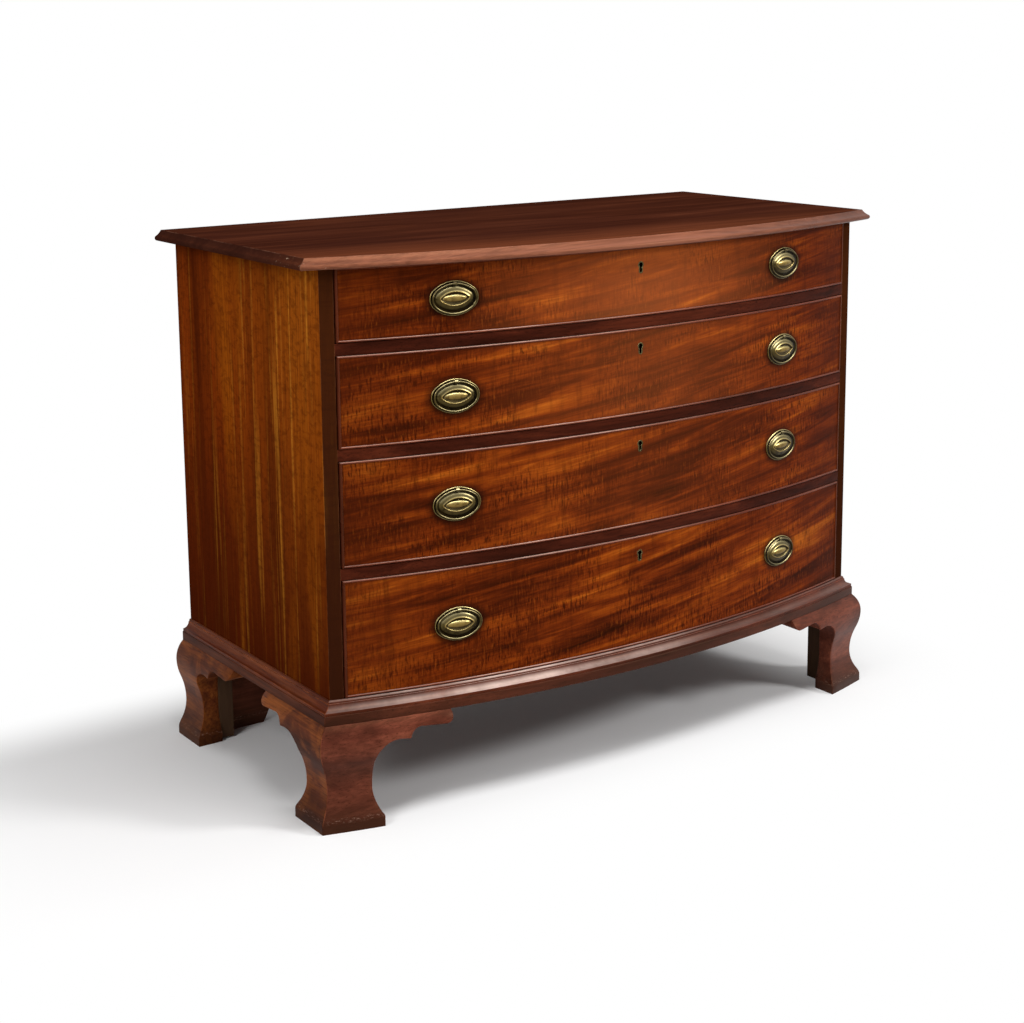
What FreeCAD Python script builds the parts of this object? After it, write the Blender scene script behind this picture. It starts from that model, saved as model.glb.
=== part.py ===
import FreeCAD
import Part
import math
import os

# Bow-front chest of four graduated drawers on ogee bracket feet.
#
# Frame: +X to the viewer's right, +Y to the back, +Z up, millimetres. The origin is on the floor,
# under the middle of the overall box. "Left" and "right" are the viewer's.
#
# The front is one circular bow. Everything that follows it is measured by its offset: the distance
# outward (positive) or inward (negative) from the bowed face of the case, square to the curve.

Vector = FreeCAD.Vector

# ---------------------------------------------------------------- driving dimensions: the case
case_width = 1020.0            # over the two side boards
side_depth = 462.0             # front corner of a side board to its back edge
bow_rise = 72.0                # how far the middle of the front stands before its corners
side_thickness = 20.0
top_thickness = 16.5
top_side_overhang = 35.0
top_front_overhang = 22.5
top_nose_radius = 4.2          # half-round along the lower part of the top's edge
top_nose_turn = 45.0           # degrees that the nose turns back above its widest line
top_cove_inset = 10.8          # the shallow cove above it runs this far in
top_cove_sag = 0.5
bottom_thickness = 18.5
rail_thickness = 17.0
rail_depth_at_corner = 44.0    # from the case corner back to the straight rear edge of a rail
drawer_openings = (106.5, 134.0, 156.0, 175.5)   # heights, from the top drawer to the bottom one

# joints of the case
housing_depth = 8.0            # how far rails and bottom run into the side boards
housing_setback = 12.0         # the stopped housings start this far behind the front edge
dovetail_flare = 2.0           # how much a sliding dovetail widens on each side
top_key_width = 9.0            # dovetail keys on the side boards, which the top slides over
top_key_height = 6.0
top_key_margin = 40.0          # the keys stop this far from front and back
runner_width = 30.0
runner_housing = 6.0
back_board_thickness = 12.0
back_board_count = 4
back_board_lap = 8.0
back_rabbet_depth = 10.0       # how far the back boards reach into each side board

# ---------------------------------------------------------------- driving dimensions: the base
foot_height = 157.5
base_frame_thickness = 14.5
base_frame_width = 60.0
base_projection = 15.5         # of the base frame beyond the case
moulding_projection = 14.3
moulding_bead_radius = 3.2
moulding_quirk = 1.2           # small steps between the bead and the hollow
edge_round = 1.6               # eased edges of the base frame
moulding_flat_count = 2        # flats planed for each arc of an edge or moulding

# ogee bracket feet: projections beyond the case, heights above the floor
foot_stock_inset = 12.0        # the flat back of a bracket lies this far inside the case face
foot_neck_projection = 15.5
foot_bulge_projection = 28.5
foot_bulge_height = 128.0
foot_waist_projection = 14.0
foot_waist_height = 57.0
foot_pad_projection = 29.0
foot_pad_height = 17.0
foot_curve_split = 0.42        # share of the reverse curve that the upper, convex arc takes
foot_flat_count = 2            # flats planed for each arc of a bracket's face
front_leg_reach = 50.5         # case corner to the inner edge of a front leg at its waist
rear_leg_reach = 66.0

# sawn outline of a bracket: distance in from that inner edge, height above the floor
scroll_pad_reach = 10.5
scroll_pad_sag = 2.5
scroll_leg_low = 62.0          # the inner edge is upright between these two heights
scroll_leg_high = 95.0
scroll_cove_end = (36.0, 129.0)
scroll_cove_sag = 10.2
scroll_cusp = (51.5, 127.5)
scroll_notch = (70.0, 142.5)
scroll_notch_sag = 4.7
scroll_tip = (107.0, 140.0)
scroll_wing = (119.5, 152.0)
scroll_tip_sag = 3.7
scroll_flat_count = 3

rear_bracket_thickness = 20.0
rear_bracket_inset = 20.0      # its rear face lies this far in from the back of the case
rear_bracket_floor_reach = 106.0
rear_bracket_top_reach = 184.0
corner_block_size = 24.0
corner_block_length = 30.0
corner_block_lift = 3.0        # the blocks stop short of the floor
wing_block_size = 18.0
wing_block_length = 90.0

# ---------------------------------------------------------------- driving dimensions: a drawer
drawer_side_gap = 2.5          # drawer to side board, on each side
drawer_front_gap = 1.0         # drawer front to the rail above and below
drawer_running_gap = 0.3       # drawer sides to the runners
drawer_back_gap = 0.5          # closed drawer to the back boards
drawer_top_gap = 3.0           # drawer sides below the top edge of the front
front_thickness = 22.0
drawer_side_thickness = 12.0
drawer_back_thickness = 11.0
drawer_back_drop = 2.0         # drawer back below the top of the sides
panel_thickness = 8.0
panel_edge_thickness = 4.6
panel_bevel_width = 28.0
panel_groove_height = 5.0
panel_groove_depth = 5.5
panel_groove_lift = 9.0        # lower lip under the groove
panel_clearance = 0.4          # panel edge to the bottom of its groove
panel_flat_count = 8           # flats planed along the panel's front edge and its groove
bead_thickness = 3.0
bead_depth = 8.5
bead_projection = 1.8
rebate_flat_count = 10         # flats planed along the floor of the rebate for the beads
dovetail_cover = 1.5           # wood left between a bead and the half-blind dovetails behind it
joint_flat_count = 1           # the ends of sides and tails are sawn straight across the bow
tail_spacing = 42.0            # about this far apart, middle to middle
tail_width = 25.0              # at the wide end
tail_end_inset = 17.0          # middle of the first and last tail from the ends of the joint
dovetail_slope = 1.0 / 6.0

# ---------------------------------------------------------------- driving dimensions: the brass
pull_spacing = 634.0           # between the two pulls of a drawer
pull_lifts = (0.0, -4.0, -1.0, 1.5)   # pull centre above the middle of each opening
oval_end_flat_count = 3        # flats planed round each end of an oval
oval_side_flat_count = 5       # and along each long side, an odd number, so one lies in the middle

# stamped plate: insets from its outer edge, heights above the drawer face
plate_half_length = 38.0
plate_half_height = 25.5
plate_end_radius = 18.0
plate_base_height = 1.4
plate_dome_inset = 7.0
plate_shoulder_inset = 10.2
plate_shoulder_height = 3.5
plate_lip_inset = 14.4
plate_lip_height = 4.9
plate_well_inset = 16.4
plate_well_height = 3.2
boss_half_length = 18.5
boss_half_height = 5.6
boss_stages = ((1.0, 2.4), (0.82, 4.6), (0.45, 5.9))   # share of the outline, height
boss_flat_count = 4

ring_half_length = 33.5
ring_half_height = 21.5
ring_end_radius = 15.5
ring_wire_radius = 1.5
ring_wire_flat_count = 5
ring_axis_height = 3.4         # hinge axis in front of the drawer face
ring_axis_drop = 4.5           # hinge axis below the top edge of the plate
ring_clearance = 0.3           # wire in its eye
knuckle_radius = 2.6
knuckle_length = 5.5
knuckle_flat_count = 8
post_width = 3.4               # square shank, so that the post can't turn
post_clearance = 0.2
post_end = 1.5                 # shank left beyond the nut
nut_size = 9.0
nut_thickness = 3.5

keyhole_drop = 32.0            # keyhole middle below the top of the opening
keyhole_height = 15.0
keyhole_radius = 3.6
keyhole_slot_width = 4.2
keyhole_flat_count = 3         # flats filed for its round head, and for its foot
liner_thickness = 1.6
liner_depth = 6.0
liner_projection = 0.5

lock_width = 56.0
lock_height = 38.0
lock_thickness = 10.0
lock_plate_margin = 4.0
lock_plate_thickness = 1.8
bolt_width = 28.0
bolt_thickness = 4.0
bolt_height = 18.0
bolt_setback = 15.0            # bolt centre behind the drawer face
bolt_clearance = 0.3
bolt_travel = 8.0
bolt_sink = 0.2                # drawn bolt below the top edge of the drawer front
bolt_mortise_clearance = 0.6   # shot bolt in the rail above
lock_wall = 2.0

# ---------------------------------------------------------------- what follows from them
half_width = case_width / 2
back_y = (side_depth + bow_rise + top_front_overhang) / 2
corner_y = back_y - side_depth
bow_radius = (half_width ** 2 + bow_rise ** 2) / (2 * bow_rise)
bow_centre_y = corner_y - bow_rise + bow_radius
inner_half_width = half_width - side_thickness
rail_back_y = corner_y + rail_depth_at_corner
back_board_y = back_y - back_board_thickness

frame_z = foot_height
bottom_z = frame_z + base_frame_thickness
first_opening_z = bottom_z + bottom_thickness
case_top_z = first_opening_z + sum(drawer_openings) + rail_thickness * (len(drawer_openings) - 1)
top_z = case_top_z + top_thickness

drawer_half_width = inner_half_width - drawer_side_gap
drawer_rear_y = back_board_y - drawer_back_gap
drawer_inner_x = drawer_half_width - drawer_side_thickness
dovetail_lap = bead_depth + dovetail_cover
top_half_width = half_width + top_side_overhang
hinge_z = plate_half_height - ring_axis_drop          # above the middle of the plate

margin = 60.0                  # how far cutting shapes run past what they cut
over_cut = 1.0                 # and how far past it where they must stay short


def opening_span(number):
    """Lowest and highest z of the opening of drawer 1 (top) to 4 (bottom)."""
    top = case_top_z - sum(drawer_openings[:number - 1]) - rail_thickness * (number - 1)
    return top - drawer_openings[number - 1], top


# ---------------------------------------------------------------- shapes of the bow
def bow_y(x, offset=0.0):
    """Y of the bowed surface at x."""
    return bow_centre_y - math.sqrt((bow_radius + offset) ** 2 - x ** 2)


def box(x_span, y_span, z_span):
    corner = Vector(min(x_span), min(y_span), min(z_span))
    return Part.makeBox(max(x_span) - corner.x, max(y_span) - corner.y, max(z_span) - corner.z, corner)


def outline(place, start, *steps, flats=0):
    """Closed face from 2-D points: a step is an end point, or (point passed, end point) of an arc.
    With flats, each arc is planed to that many straight lengths."""
    edges = []
    here = start
    for step in steps + (start,):
        if isinstance(step[0], tuple):
            passed, end = step
            arc = Part.Arc(place(*here), place(*passed), place(*end)).toShape()
            corners = arc.discretize(flats + 1) if flats else []
            edges += [Part.makeLine(*pair) for pair in zip(corners, corners[1:])] if flats else [arc]
        else:
            end = step
            if math.dist(here, end) > 1e-6:
                edges.append(Part.makeLine(place(*here), place(*end)))
        here = end
    return Part.Face(Part.Wire(edges))


def sagging(start, end, sag):
    """Arc step to end that stands off the chord by sag, to the left of its direction."""
    run, rise = end[0] - start[0], end[1] - start[1]
    length = math.hypot(run, rise)
    middle = ((start[0] + end[0]) / 2 - sag * rise / length, (start[1] + end[1]) / 2 + sag * run / length)
    return middle, end


def in_plan(z):
    return lambda x, y: Vector(x, y, z)


def bow_plate(x_low, x_high, offset, rear_y, z_low, z_high, flats=0):
    """Board with a bowed front edge, square ends and a straight rear edge."""
    middle = (x_low + x_high) / 2
    plan = outline(in_plan(z_low), (x_low, rear_y), (x_low, bow_y(x_low, offset)),
                   ((middle, bow_y(middle, offset)), (x_high, bow_y(x_high, offset))),
                   (x_high, rear_y), flats=flats)
    return plan.extrude(Vector(0, 0, z_high - z_low))


def bow_band(x_low, x_high, outer, inner, z_low, z_high, flats=0):
    """Curved board between two offsets, with its ends cut along Y."""
    middle = (x_low + x_high) / 2
    plan = outline(in_plan(z_low), (x_low, bow_y(x_low, outer)),
                   ((middle, bow_y(middle, outer)), (x_high, bow_y(x_high, outer))),
                   (x_high, bow_y(x_high, inner)),
                   ((middle, bow_y(middle, inner)), (x_low, bow_y(x_low, inner))), flats=flats)
    return plan.extrude(Vector(0, 0, z_high - z_low))


def bow_sweep(section):
    """Section drawn at x = 0 as (offset, z) points, swept round the bow past both corners."""
    angle = math.degrees(math.asin((half_width + margin) / bow_radius))
    axis_point = Vector(0, bow_centre_y, 0)
    start = section.rotated(axis_point, Vector(0, 0, 1), -angle)
    return start.revolve(axis_point, Vector(0, 0, 1), 2 * angle)


def at_bow_middle(offset, z):
    return Vector(0, bow_y(0) - offset, z)


def on_side(side, y):
    """Places (offset, z) points in the cross-section of the left (-1) or right (+1) side."""
    return lambda offset, z: Vector(side * (half_width + offset), y, z)


def behind_mitre(side, outer, inner, z_low, z_high):
    """Everything behind the vertical mitre plane through two plan points, given for side +1."""
    reach = 1.5 * margin / math.dist(outer, inner)
    outer_end = tuple(o + reach * (o - i) for o, i in zip(outer, inner))
    inner_end = tuple(i - reach * (o - i) for o, i in zip(outer, inner))
    far_y = back_y + margin
    corners = (outer_end, inner_end, (inner_end[0], far_y), (outer_end[0], far_y))
    plan = outline(lambda x, y: Vector(side * x, y, z_low), *corners)
    return plan.extrude(Vector(0, 0, z_high - z_low))


def corner_mitre(side, outer, inner, z_low, z_high):
    """Mitre at a front corner between two offsets from the case."""
    points = [(half_width + offset, bow_y(half_width + offset, offset)) for offset in (outer, inner)]
    return behind_mitre(side, points[0], points[1], z_low, z_high)


def mirrored(shape):
    return shape.mirror(Vector(0, 0, 0), Vector(1, 0, 0))


def save(name, *solids):
    shape = solids[0] if len(solids) == 1 else Part.makeCompound(list(solids))
    shape.exportStep("parts/" + name + ".step")


# ---------------------------------------------------------------- top board
def top_edge_waste(place):
    """What the moulding plane takes off the edge: (inset, z) from the edge and the underside.
    A half-round nose runs along the underside, and a shallow cove falls to it from the top."""
    radius = top_nose_radius
    turn = math.radians(top_nose_turn)
    nose_end = (radius * (1 - math.cos(turn)), radius * (1 + math.sin(turn)))
    cove_end = (top_cove_inset, top_thickness)
    outside = -margin / 4
    high = top_thickness + over_cut
    return outline(place, (radius, -over_cut), (radius, 0.0), ((0.0, radius), nose_end),
                   sagging(nose_end, cove_end, -top_cove_sag), (top_cove_inset, high),
                   (outside, high), (outside, -over_cut), flats=moulding_flat_count)


def top_key(side, widening=0.0):
    """Dovetail key along the top of a side board, which the top board slides over."""
    middle = half_width - side_thickness / 2
    foot = top_key_width / 2 + widening
    section = outline(lambda u, v: Vector(side * (middle + u), corner_y + top_key_margin, case_top_z + v),
                      (-foot, 0.0), (-foot - dovetail_flare / 2, top_key_height),
                      (foot + dovetail_flare / 2, top_key_height), (foot, 0.0))
    return section.extrude(Vector(0, side_depth - 2 * top_key_margin, 0))


def lock_mortise(z_low):
    """Slot for the shot bolt in the underside of the rail or top above a drawer."""
    y_middle = bow_y(0) + bolt_setback
    half = bolt_width / 2 + bolt_mortise_clearance
    thick = bolt_thickness / 2 + bolt_mortise_clearance
    reach = bolt_travel - bolt_sink - drawer_front_gap
    return box((-half, half), (y_middle - thick, y_middle + thick),
               (z_low, z_low + reach + bolt_mortise_clearance))


def make_top_board():
    board = bow_plate(-top_half_width, top_half_width, top_front_overhang, back_y, case_top_z, top_z)
    board = board.cut(bow_sweep(top_edge_waste(
        lambda inset, z: at_bow_middle(top_front_overhang - inset, case_top_z + z))))
    for side in (-1, 1):
        end_waste = top_edge_waste(
            lambda inset, z: Vector(side * (top_half_width - inset), corner_y - 2 * margin, case_top_z + z))
        board = board.cut(end_waste.extrude(Vector(0, side_depth + 3 * margin, 0)))
        board = board.cut(top_key(side))
    return board.cut(lock_mortise(case_top_z))


# ---------------------------------------------------------------- carcase
def rail_span(number):
    """z of the rail under drawer 1, 2 or 3."""
    high = opening_span(number)[0]
    return high - rail_thickness, high


def housed_key(side, z_low, z_high):
    """Stopped sliding dovetail at the end of a rail, inside the side board."""
    section = outline(lambda u, v: Vector(side * (inner_half_width + u), corner_y + housing_setback, v),
                      (0.0, z_low + dovetail_flare), (housing_depth, z_low),
                      (housing_depth, z_high), (0.0, z_high - dovetail_flare))
    return section.extrude(Vector(0, rail_depth_at_corner - housing_setback, 0))


def bottom_tongue(side):
    x_span = (side * inner_half_width, side * (inner_half_width + housing_depth))
    return box(x_span, (corner_y + housing_setback, back_board_y), (bottom_z, first_opening_z))


def runner(side, number):
    """Strip behind a rail, housed in the side board, that one side of a drawer slides on."""
    x_span = (side * (inner_half_width - runner_width), side * (inner_half_width + runner_housing))
    return box(x_span, (rail_back_y, back_board_y), rail_span(number))


def make_side_board(side):
    x_span = sorted((side * inner_half_width, side * half_width))
    board = bow_plate(x_span[0], x_span[1], 0.0, back_y, bottom_z, case_top_z)
    board = board.fuse(top_key(side))
    for number in (1, 2, 3):
        board = board.cut(housed_key(side, *rail_span(number)))
        board = board.cut(runner(side, number))
    board = board.cut(bottom_tongue(side))
    rabbet_x = (side * inner_half_width, side * (inner_half_width + back_rabbet_depth))
    return board.cut(box(rabbet_x, (back_board_y, back_y), (bottom_z, case_top_z)))


def make_rail(number):
    z_low, z_high = rail_span(number)
    rail = bow_plate(-inner_half_width, inner_half_width, 0.0, rail_back_y, z_low, z_high)
    for side in (-1, 1):
        rail = rail.fuse(housed_key(side, z_low, z_high))
    return rail.cut(lock_mortise(z_low)).removeSplitter()


def make_bottom_board():
    board = bow_plate(-inner_half_width, inner_half_width, 0.0, back_board_y, bottom_z, first_opening_z)
    return board.fuse(bottom_tongue(-1)).fuse(bottom_tongue(1)).removeSplitter()


def make_back_boards():
    """Horizontal boards in the rabbets of the sides, each lapped over the next."""
    half = inner_half_width + back_rabbet_depth
    pitch = (case_top_z - bottom_z) / back_board_count
    middle_y = (back_board_y + back_y) / 2
    boards = []
    for index in range(back_board_count):
        z_low = bottom_z + index * pitch
        board = box((-half, half), (back_board_y, back_y), (z_low, z_low + pitch))
        if index > 0:
            lap = box((-half, half), (back_board_y, middle_y), (z_low - back_board_lap, z_low))
            board = board.fuse(lap).removeSplitter()
        if index < back_board_count - 1:
            lap = box((-half, half), (back_board_y, middle_y),
                      (z_low + pitch - back_board_lap, z_low + pitch))
            board = board.cut(lap)
        boards.append(board)
    return boards


# ---------------------------------------------------------------- base frame and base moulding
def base_frame_section(place):
    """Edge of the base frame with its upper outer arris eased."""
    ease = edge_round * (1 - math.sqrt(0.5))
    return outline(place, (-2 * margin, frame_z), (base_projection, frame_z),
                   (base_projection, bottom_z - edge_round),
                   ((base_projection - ease, bottom_z - ease), (base_projection - edge_round, bottom_z)),
                   (-2 * margin, bottom_z), flats=moulding_flat_count)


def make_base_frame():
    """Front, left, right and rear rails of the flat frame that the feet are glued to."""
    inner_x = half_width - base_frame_width
    outer = (half_width + base_projection, bow_y(half_width + base_projection, base_projection))
    inner = (inner_x, rail_back_y)
    past_both = (frame_z - over_cut, bottom_z + over_cut)
    inside = box((-inner_x, inner_x), (rail_back_y, back_y - base_frame_width), past_both)
    front = bow_sweep(base_frame_section(at_bow_middle))
    behind_front = box((-margin - half_width, margin + half_width), (rail_back_y, back_y + margin),
                       past_both)
    front = front.cut(behind_front)
    rails = []
    for side in (-1, 1):
        mitre = behind_mitre(side, outer, inner, *past_both)
        front = front.cut(mitre)
        rail = base_frame_section(on_side(side, corner_y - margin))
        rail = rail.extrude(Vector(0, side_depth + margin, 0)).common(mitre)
        past_middle = (side * inner_x, -side * half_width)
        rails.append(rail.cut(box(past_middle, (corner_y - margin, back_y), past_both)))
    rear = box((-inner_x, inner_x), (back_y - base_frame_width, back_y), (frame_z, bottom_z))
    return [front, rails[0], rails[1], rear], inside


def moulding_section(place):
    """Base moulding: a small bead on top, a quarter-round hollow, and a square lower edge."""
    bead = moulding_bead_radius
    high = first_opening_z
    hollow_start = bead + moulding_quirk
    hollow = moulding_projection - hollow_start
    centre = (moulding_projection, high - bead - moulding_quirk)
    diagonal = math.sqrt(0.5)
    return outline(place, (0.0, bottom_z), (moulding_projection, bottom_z),
                   (moulding_projection, centre[1] - hollow),
                   ((centre[0] - hollow * diagonal, centre[1] - hollow * diagonal), (hollow_start, centre[1])),
                   (hollow_start - moulding_quirk, centre[1]), (hollow_start - moulding_quirk, high - bead),
                   ((bead * diagonal, high - bead + bead * diagonal), (0.0, high)), flats=moulding_flat_count)


def make_base_mouldings():
    """Bowed front length and two straight side lengths, mitred at the corners."""
    front = bow_sweep(moulding_section(at_bow_middle))
    lengths = []
    for side in (-1, 1):
        mitre = corner_mitre(side, moulding_projection, 0.0, bottom_z - over_cut, first_opening_z + over_cut)
        front = front.cut(mitre)
        length = moulding_section(on_side(side, corner_y - margin))
        lengths.append(length.extrude(Vector(0, side_depth + margin, 0)).common(mitre))
    return [front] + lengths


# ---------------------------------------------------------------- ogee bracket feet
def ogee_section(place):
    """Section of a bracket: a bold swell above, a hollow waist, and a flare down to the pad.
    All four arcs meet in a common tangent."""
    swell_run = foot_bulge_projection - foot_neck_projection
    swell_rise = foot_height - foot_bulge_height
    shoulder_radius = (swell_rise ** 2 + swell_run ** 2) / (2 * swell_run)
    fall_run = foot_bulge_projection - foot_waist_projection
    fall = foot_bulge_height - foot_waist_height
    radii_sum = (fall ** 2 + fall_run ** 2) / (2 * fall_run)
    upper_radius = foot_curve_split * radii_sum
    lower_radius = radii_sum - upper_radius
    turn_z = foot_bulge_height - foot_curve_split * fall
    flare_run = foot_pad_projection - foot_waist_projection
    flare_rise = foot_waist_height - foot_pad_height
    flare_radius = (flare_rise ** 2 + flare_run ** 2) / (2 * flare_run)

    def bulging(radius, z):
        return foot_bulge_projection - radius + math.sqrt(radius ** 2 - (z - foot_bulge_height) ** 2)

    def hollowed(radius, z):
        return foot_waist_projection + radius - math.sqrt(radius ** 2 - (z - foot_waist_height) ** 2)

    shoulder_z = (foot_bulge_height + foot_height) / 2
    upper_z = (foot_bulge_height + turn_z) / 2
    lower_z = (foot_waist_height + turn_z) / 2
    flare_z = (foot_waist_height + foot_pad_height) / 2
    return outline(
        place, (-foot_stock_inset, 0.0), (foot_pad_projection, 0.0), (foot_pad_projection, foot_pad_height),
        ((hollowed(flare_radius, flare_z), flare_z), (foot_waist_projection, foot_waist_height)),
        ((hollowed(lower_radius, lower_z), lower_z), (hollowed(lower_radius, turn_z), turn_z)),
        ((bulging(upper_radius, upper_z), upper_z), (foot_bulge_projection, foot_bulge_height)),
        ((bulging(shoulder_radius, shoulder_z), shoulder_z), (foot_neck_projection, foot_height)),
        (-foot_stock_inset, foot_height), flats=foot_flat_count)


def scroll_outline(place, leg_reach):
    """Sawn outline of a bracket, (distance in from the case corner, z). From the floor: the leg's
    inner edge, a large cove, a flat ending in a cusp, a small cove, and the rounded wing tip."""
    def at(point):
        return leg_reach + point[0], point[1]

    past_top = foot_height + over_cut
    pad = (leg_reach + scroll_pad_reach, foot_pad_height)
    leg_low, leg_high = (leg_reach, scroll_leg_low), (leg_reach, scroll_leg_high)
    cove_end, cusp, notch, tip, wing = (
        at(point) for point in (scroll_cove_end, scroll_cusp, scroll_notch, scroll_tip, scroll_wing))
    return outline(
        place, (-margin, -over_cut), (pad[0], -over_cut), pad, sagging(pad, leg_low, scroll_pad_sag), leg_high,
        sagging(leg_high, cove_end, scroll_cove_sag), cusp, sagging(cusp, notch, scroll_notch_sag),
        tip, sagging(tip, wing, -scroll_tip_sag), (wing[0], past_top), (-margin, past_top),
        flats=scroll_flat_count)


def make_front_foot(side):
    """Bowed front bracket and straight side bracket, mitred at the corner."""
    mitre = corner_mitre(side, foot_pad_projection, -foot_stock_inset, -over_cut, foot_height + over_cut)
    front = bow_sweep(ogee_section(at_bow_middle)).cut(mitre)
    scroll = scroll_outline(
        lambda reach, z: Vector(side * (half_width - reach), corner_y - 3 * margin, z), front_leg_reach)
    front = front.common(scroll.extrude(Vector(0, 5 * margin, 0)))
    flank = ogee_section(on_side(side, corner_y - margin))
    flank = flank.extrude(Vector(0, side_depth / 2 + margin, 0)).common(mitre)
    scroll = scroll_outline(
        lambda reach, z: Vector(side * (half_width - margin), corner_y + reach, z), front_leg_reach)
    flank = flank.common(scroll.extrude(Vector(side * 2 * margin, 0, 0)))
    return front, flank


def make_rear_foot(side):
    """Ogee side bracket, and a plain board across the back with a raking inner edge."""
    flank = ogee_section(on_side(side, back_y - side_depth / 2))
    flank = flank.extrude(Vector(0, side_depth / 2, 0))
    scroll = scroll_outline(
        lambda reach, z: Vector(side * (half_width - margin), back_y - reach, z), rear_leg_reach)
    flank = flank.common(scroll.extrude(Vector(side * 2 * margin, 0, 0)))
    front_y = back_y - rear_bracket_inset - rear_bracket_thickness
    plain = outline(lambda reach, z: Vector(side * (half_width - reach), front_y, z),
                    (foot_stock_inset, 0.0), (rear_bracket_floor_reach, 0.0),
                    (rear_bracket_top_reach, foot_height), (foot_stock_inset, foot_height))
    return flank, plain.extrude(Vector(0, rear_bracket_thickness, 0))


def make_foot_blocks():
    """Upright blocks in the four foot corners and flat ones under the frame behind the wings."""
    blocks = []
    outer_x = half_width - foot_stock_inset
    upright_z = (corner_block_lift, foot_height)
    flat_z = (foot_height - wing_block_size, foot_height)
    rear_face_y = back_y - rear_bracket_inset - rear_bracket_thickness
    for side in (-1, 1):
        x_span = (side * (outer_x - corner_block_size), side * outer_x)
        low, high = sorted(x_span)
        blocks.append(bow_plate(low, high, -foot_stock_inset, corner_y + foot_stock_inset
                                + corner_block_length, *upright_z))
        blocks.append(box(x_span, (rear_face_y - corner_block_length, rear_face_y), upright_z))
        wing_x = sorted((side * (outer_x - corner_block_size), side * (outer_x - corner_block_size
                                                                       - wing_block_length)))
        blocks.append(bow_band(wing_x[0], wing_x[1], -foot_stock_inset,
                               -foot_stock_inset - wing_block_size, *flat_z))
        flat_x = (side * (outer_x - wing_block_size), side * outer_x)
        front_start = corner_y + foot_stock_inset + corner_block_length
        rear_start = rear_face_y - corner_block_length
        blocks.append(box(flat_x, (front_start, front_start + wing_block_length), flat_z))
        blocks.append(box(flat_x, (rear_start - wing_block_length, rear_start), flat_z))
    return blocks


# ---------------------------------------------------------------- drawer box
def tails(z_low, z_high, root_y, tip_y):
    """Dovetail wedges at the end of a right-hand drawer side, between two values of y."""
    run = z_high - z_low - 2 * tail_end_inset
    spaces = max(1, round(run / tail_spacing))
    tip_half = tail_width / 2
    root_half = tip_half - abs(tip_y - root_y) * dovetail_slope
    wedges = []
    for index in range(spaces + 1):
        middle = z_low + tail_end_inset + run * index / spaces
        wedge = outline(lambda y, z: Vector(drawer_inner_x, y, z),
                        (root_y, middle - root_half), (tip_y, middle - tip_half),
                        (tip_y, middle + tip_half), (root_y, middle + root_half))
        wedges.append(wedge.extrude(Vector(drawer_side_thickness, 0, 0)))
    return wedges


def drawer_levels(number):
    """Heights that the pieces of one drawer share."""
    low, high = opening_span(number)
    front_low = low + drawer_front_gap
    front_high = high - drawer_front_gap
    side_low = low + drawer_running_gap
    side_high = front_high - drawer_top_gap
    groove_low = side_low + panel_groove_lift
    return front_low, front_high, side_low, side_high, groove_low


def front_tails(number):
    """Half-blind tails, which run square into the back of the bowed drawer front."""
    side_low, side_high = drawer_levels(number)[2:4]
    root_y = bow_y(drawer_half_width, -front_thickness)
    tip_y = bow_y(drawer_inner_x, -dovetail_lap)
    band = bow_band(drawer_inner_x, drawer_half_width, -dovetail_lap, -front_thickness, side_low, side_high,
                    flats=joint_flat_count)
    return [wedge.common(band) for wedge in tails(side_low, side_high, root_y, tip_y)]


def drawer_back_span(number):
    """Lowest and highest z of the drawer back, which stands on the bottom panel."""
    side_high, groove_low = drawer_levels(number)[3:5]
    return groove_low + panel_groove_height, side_high - drawer_back_drop


def rear_tails(number):
    return tails(*drawer_back_span(number), drawer_rear_y - drawer_back_thickness, drawer_rear_y)


def make_drawer_side(number):
    """Right-hand side: grooved for the bottom, half-blind tails in front and through tails behind."""
    side_low, side_high, groove_low = drawer_levels(number)[2:5]
    board = bow_plate(drawer_inner_x, drawer_half_width, -front_thickness, drawer_rear_y, side_low, side_high,
                      flats=joint_flat_count)
    groove = box((drawer_inner_x, drawer_inner_x + panel_groove_depth), (corner_y - margin, back_y),
                 (groove_low, groove_low + panel_groove_height))
    for tail in front_tails(number):
        board = board.fuse(tail)
    return board.cut(make_drawer_back(number)).cut(groove).removeSplitter()


def make_drawer_back(number):
    """Back whose pins fill the spaces between the through tails of the sides."""
    back = box((-drawer_half_width, drawer_half_width), (drawer_rear_y - drawer_back_thickness, drawer_rear_y),
               drawer_back_span(number))
    for wedge in rear_tails(number):
        back = back.cut(wedge).cut(mirrored(wedge))
    return back


def make_drawer_bottom(number):
    """Panel thinned on its underside to fit the grooves, sliding in under the drawer back."""
    groove_low = drawer_levels(number)[4]
    high = groove_low + panel_groove_height
    low = high - panel_thickness
    reach = panel_groove_depth - panel_clearance
    half = drawer_inner_x + reach
    front_offset = -front_thickness + reach
    panel = bow_plate(-half, half, front_offset, drawer_rear_y, low, high, flats=panel_flat_count)
    feather = panel_thickness - panel_edge_thickness
    front_waste = bow_band(-half - over_cut, half + over_cut, front_offset + over_cut,
                           front_offset - panel_groove_depth, low - over_cut, low + feather,
                           flats=panel_flat_count)
    panel = panel.cut(front_waste)
    for side in (-1, 1):
        waste = outline(lambda out, z: Vector(side * (half + out), corner_y - 2 * margin, low + z),
                        (over_cut, -over_cut), (over_cut, feather), (-panel_groove_depth, feather),
                        (-panel_bevel_width, 0.0), (-panel_bevel_width, -over_cut))
        panel = panel.cut(waste.extrude(Vector(0, side_depth + 3 * margin, 0)))
    return panel


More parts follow.
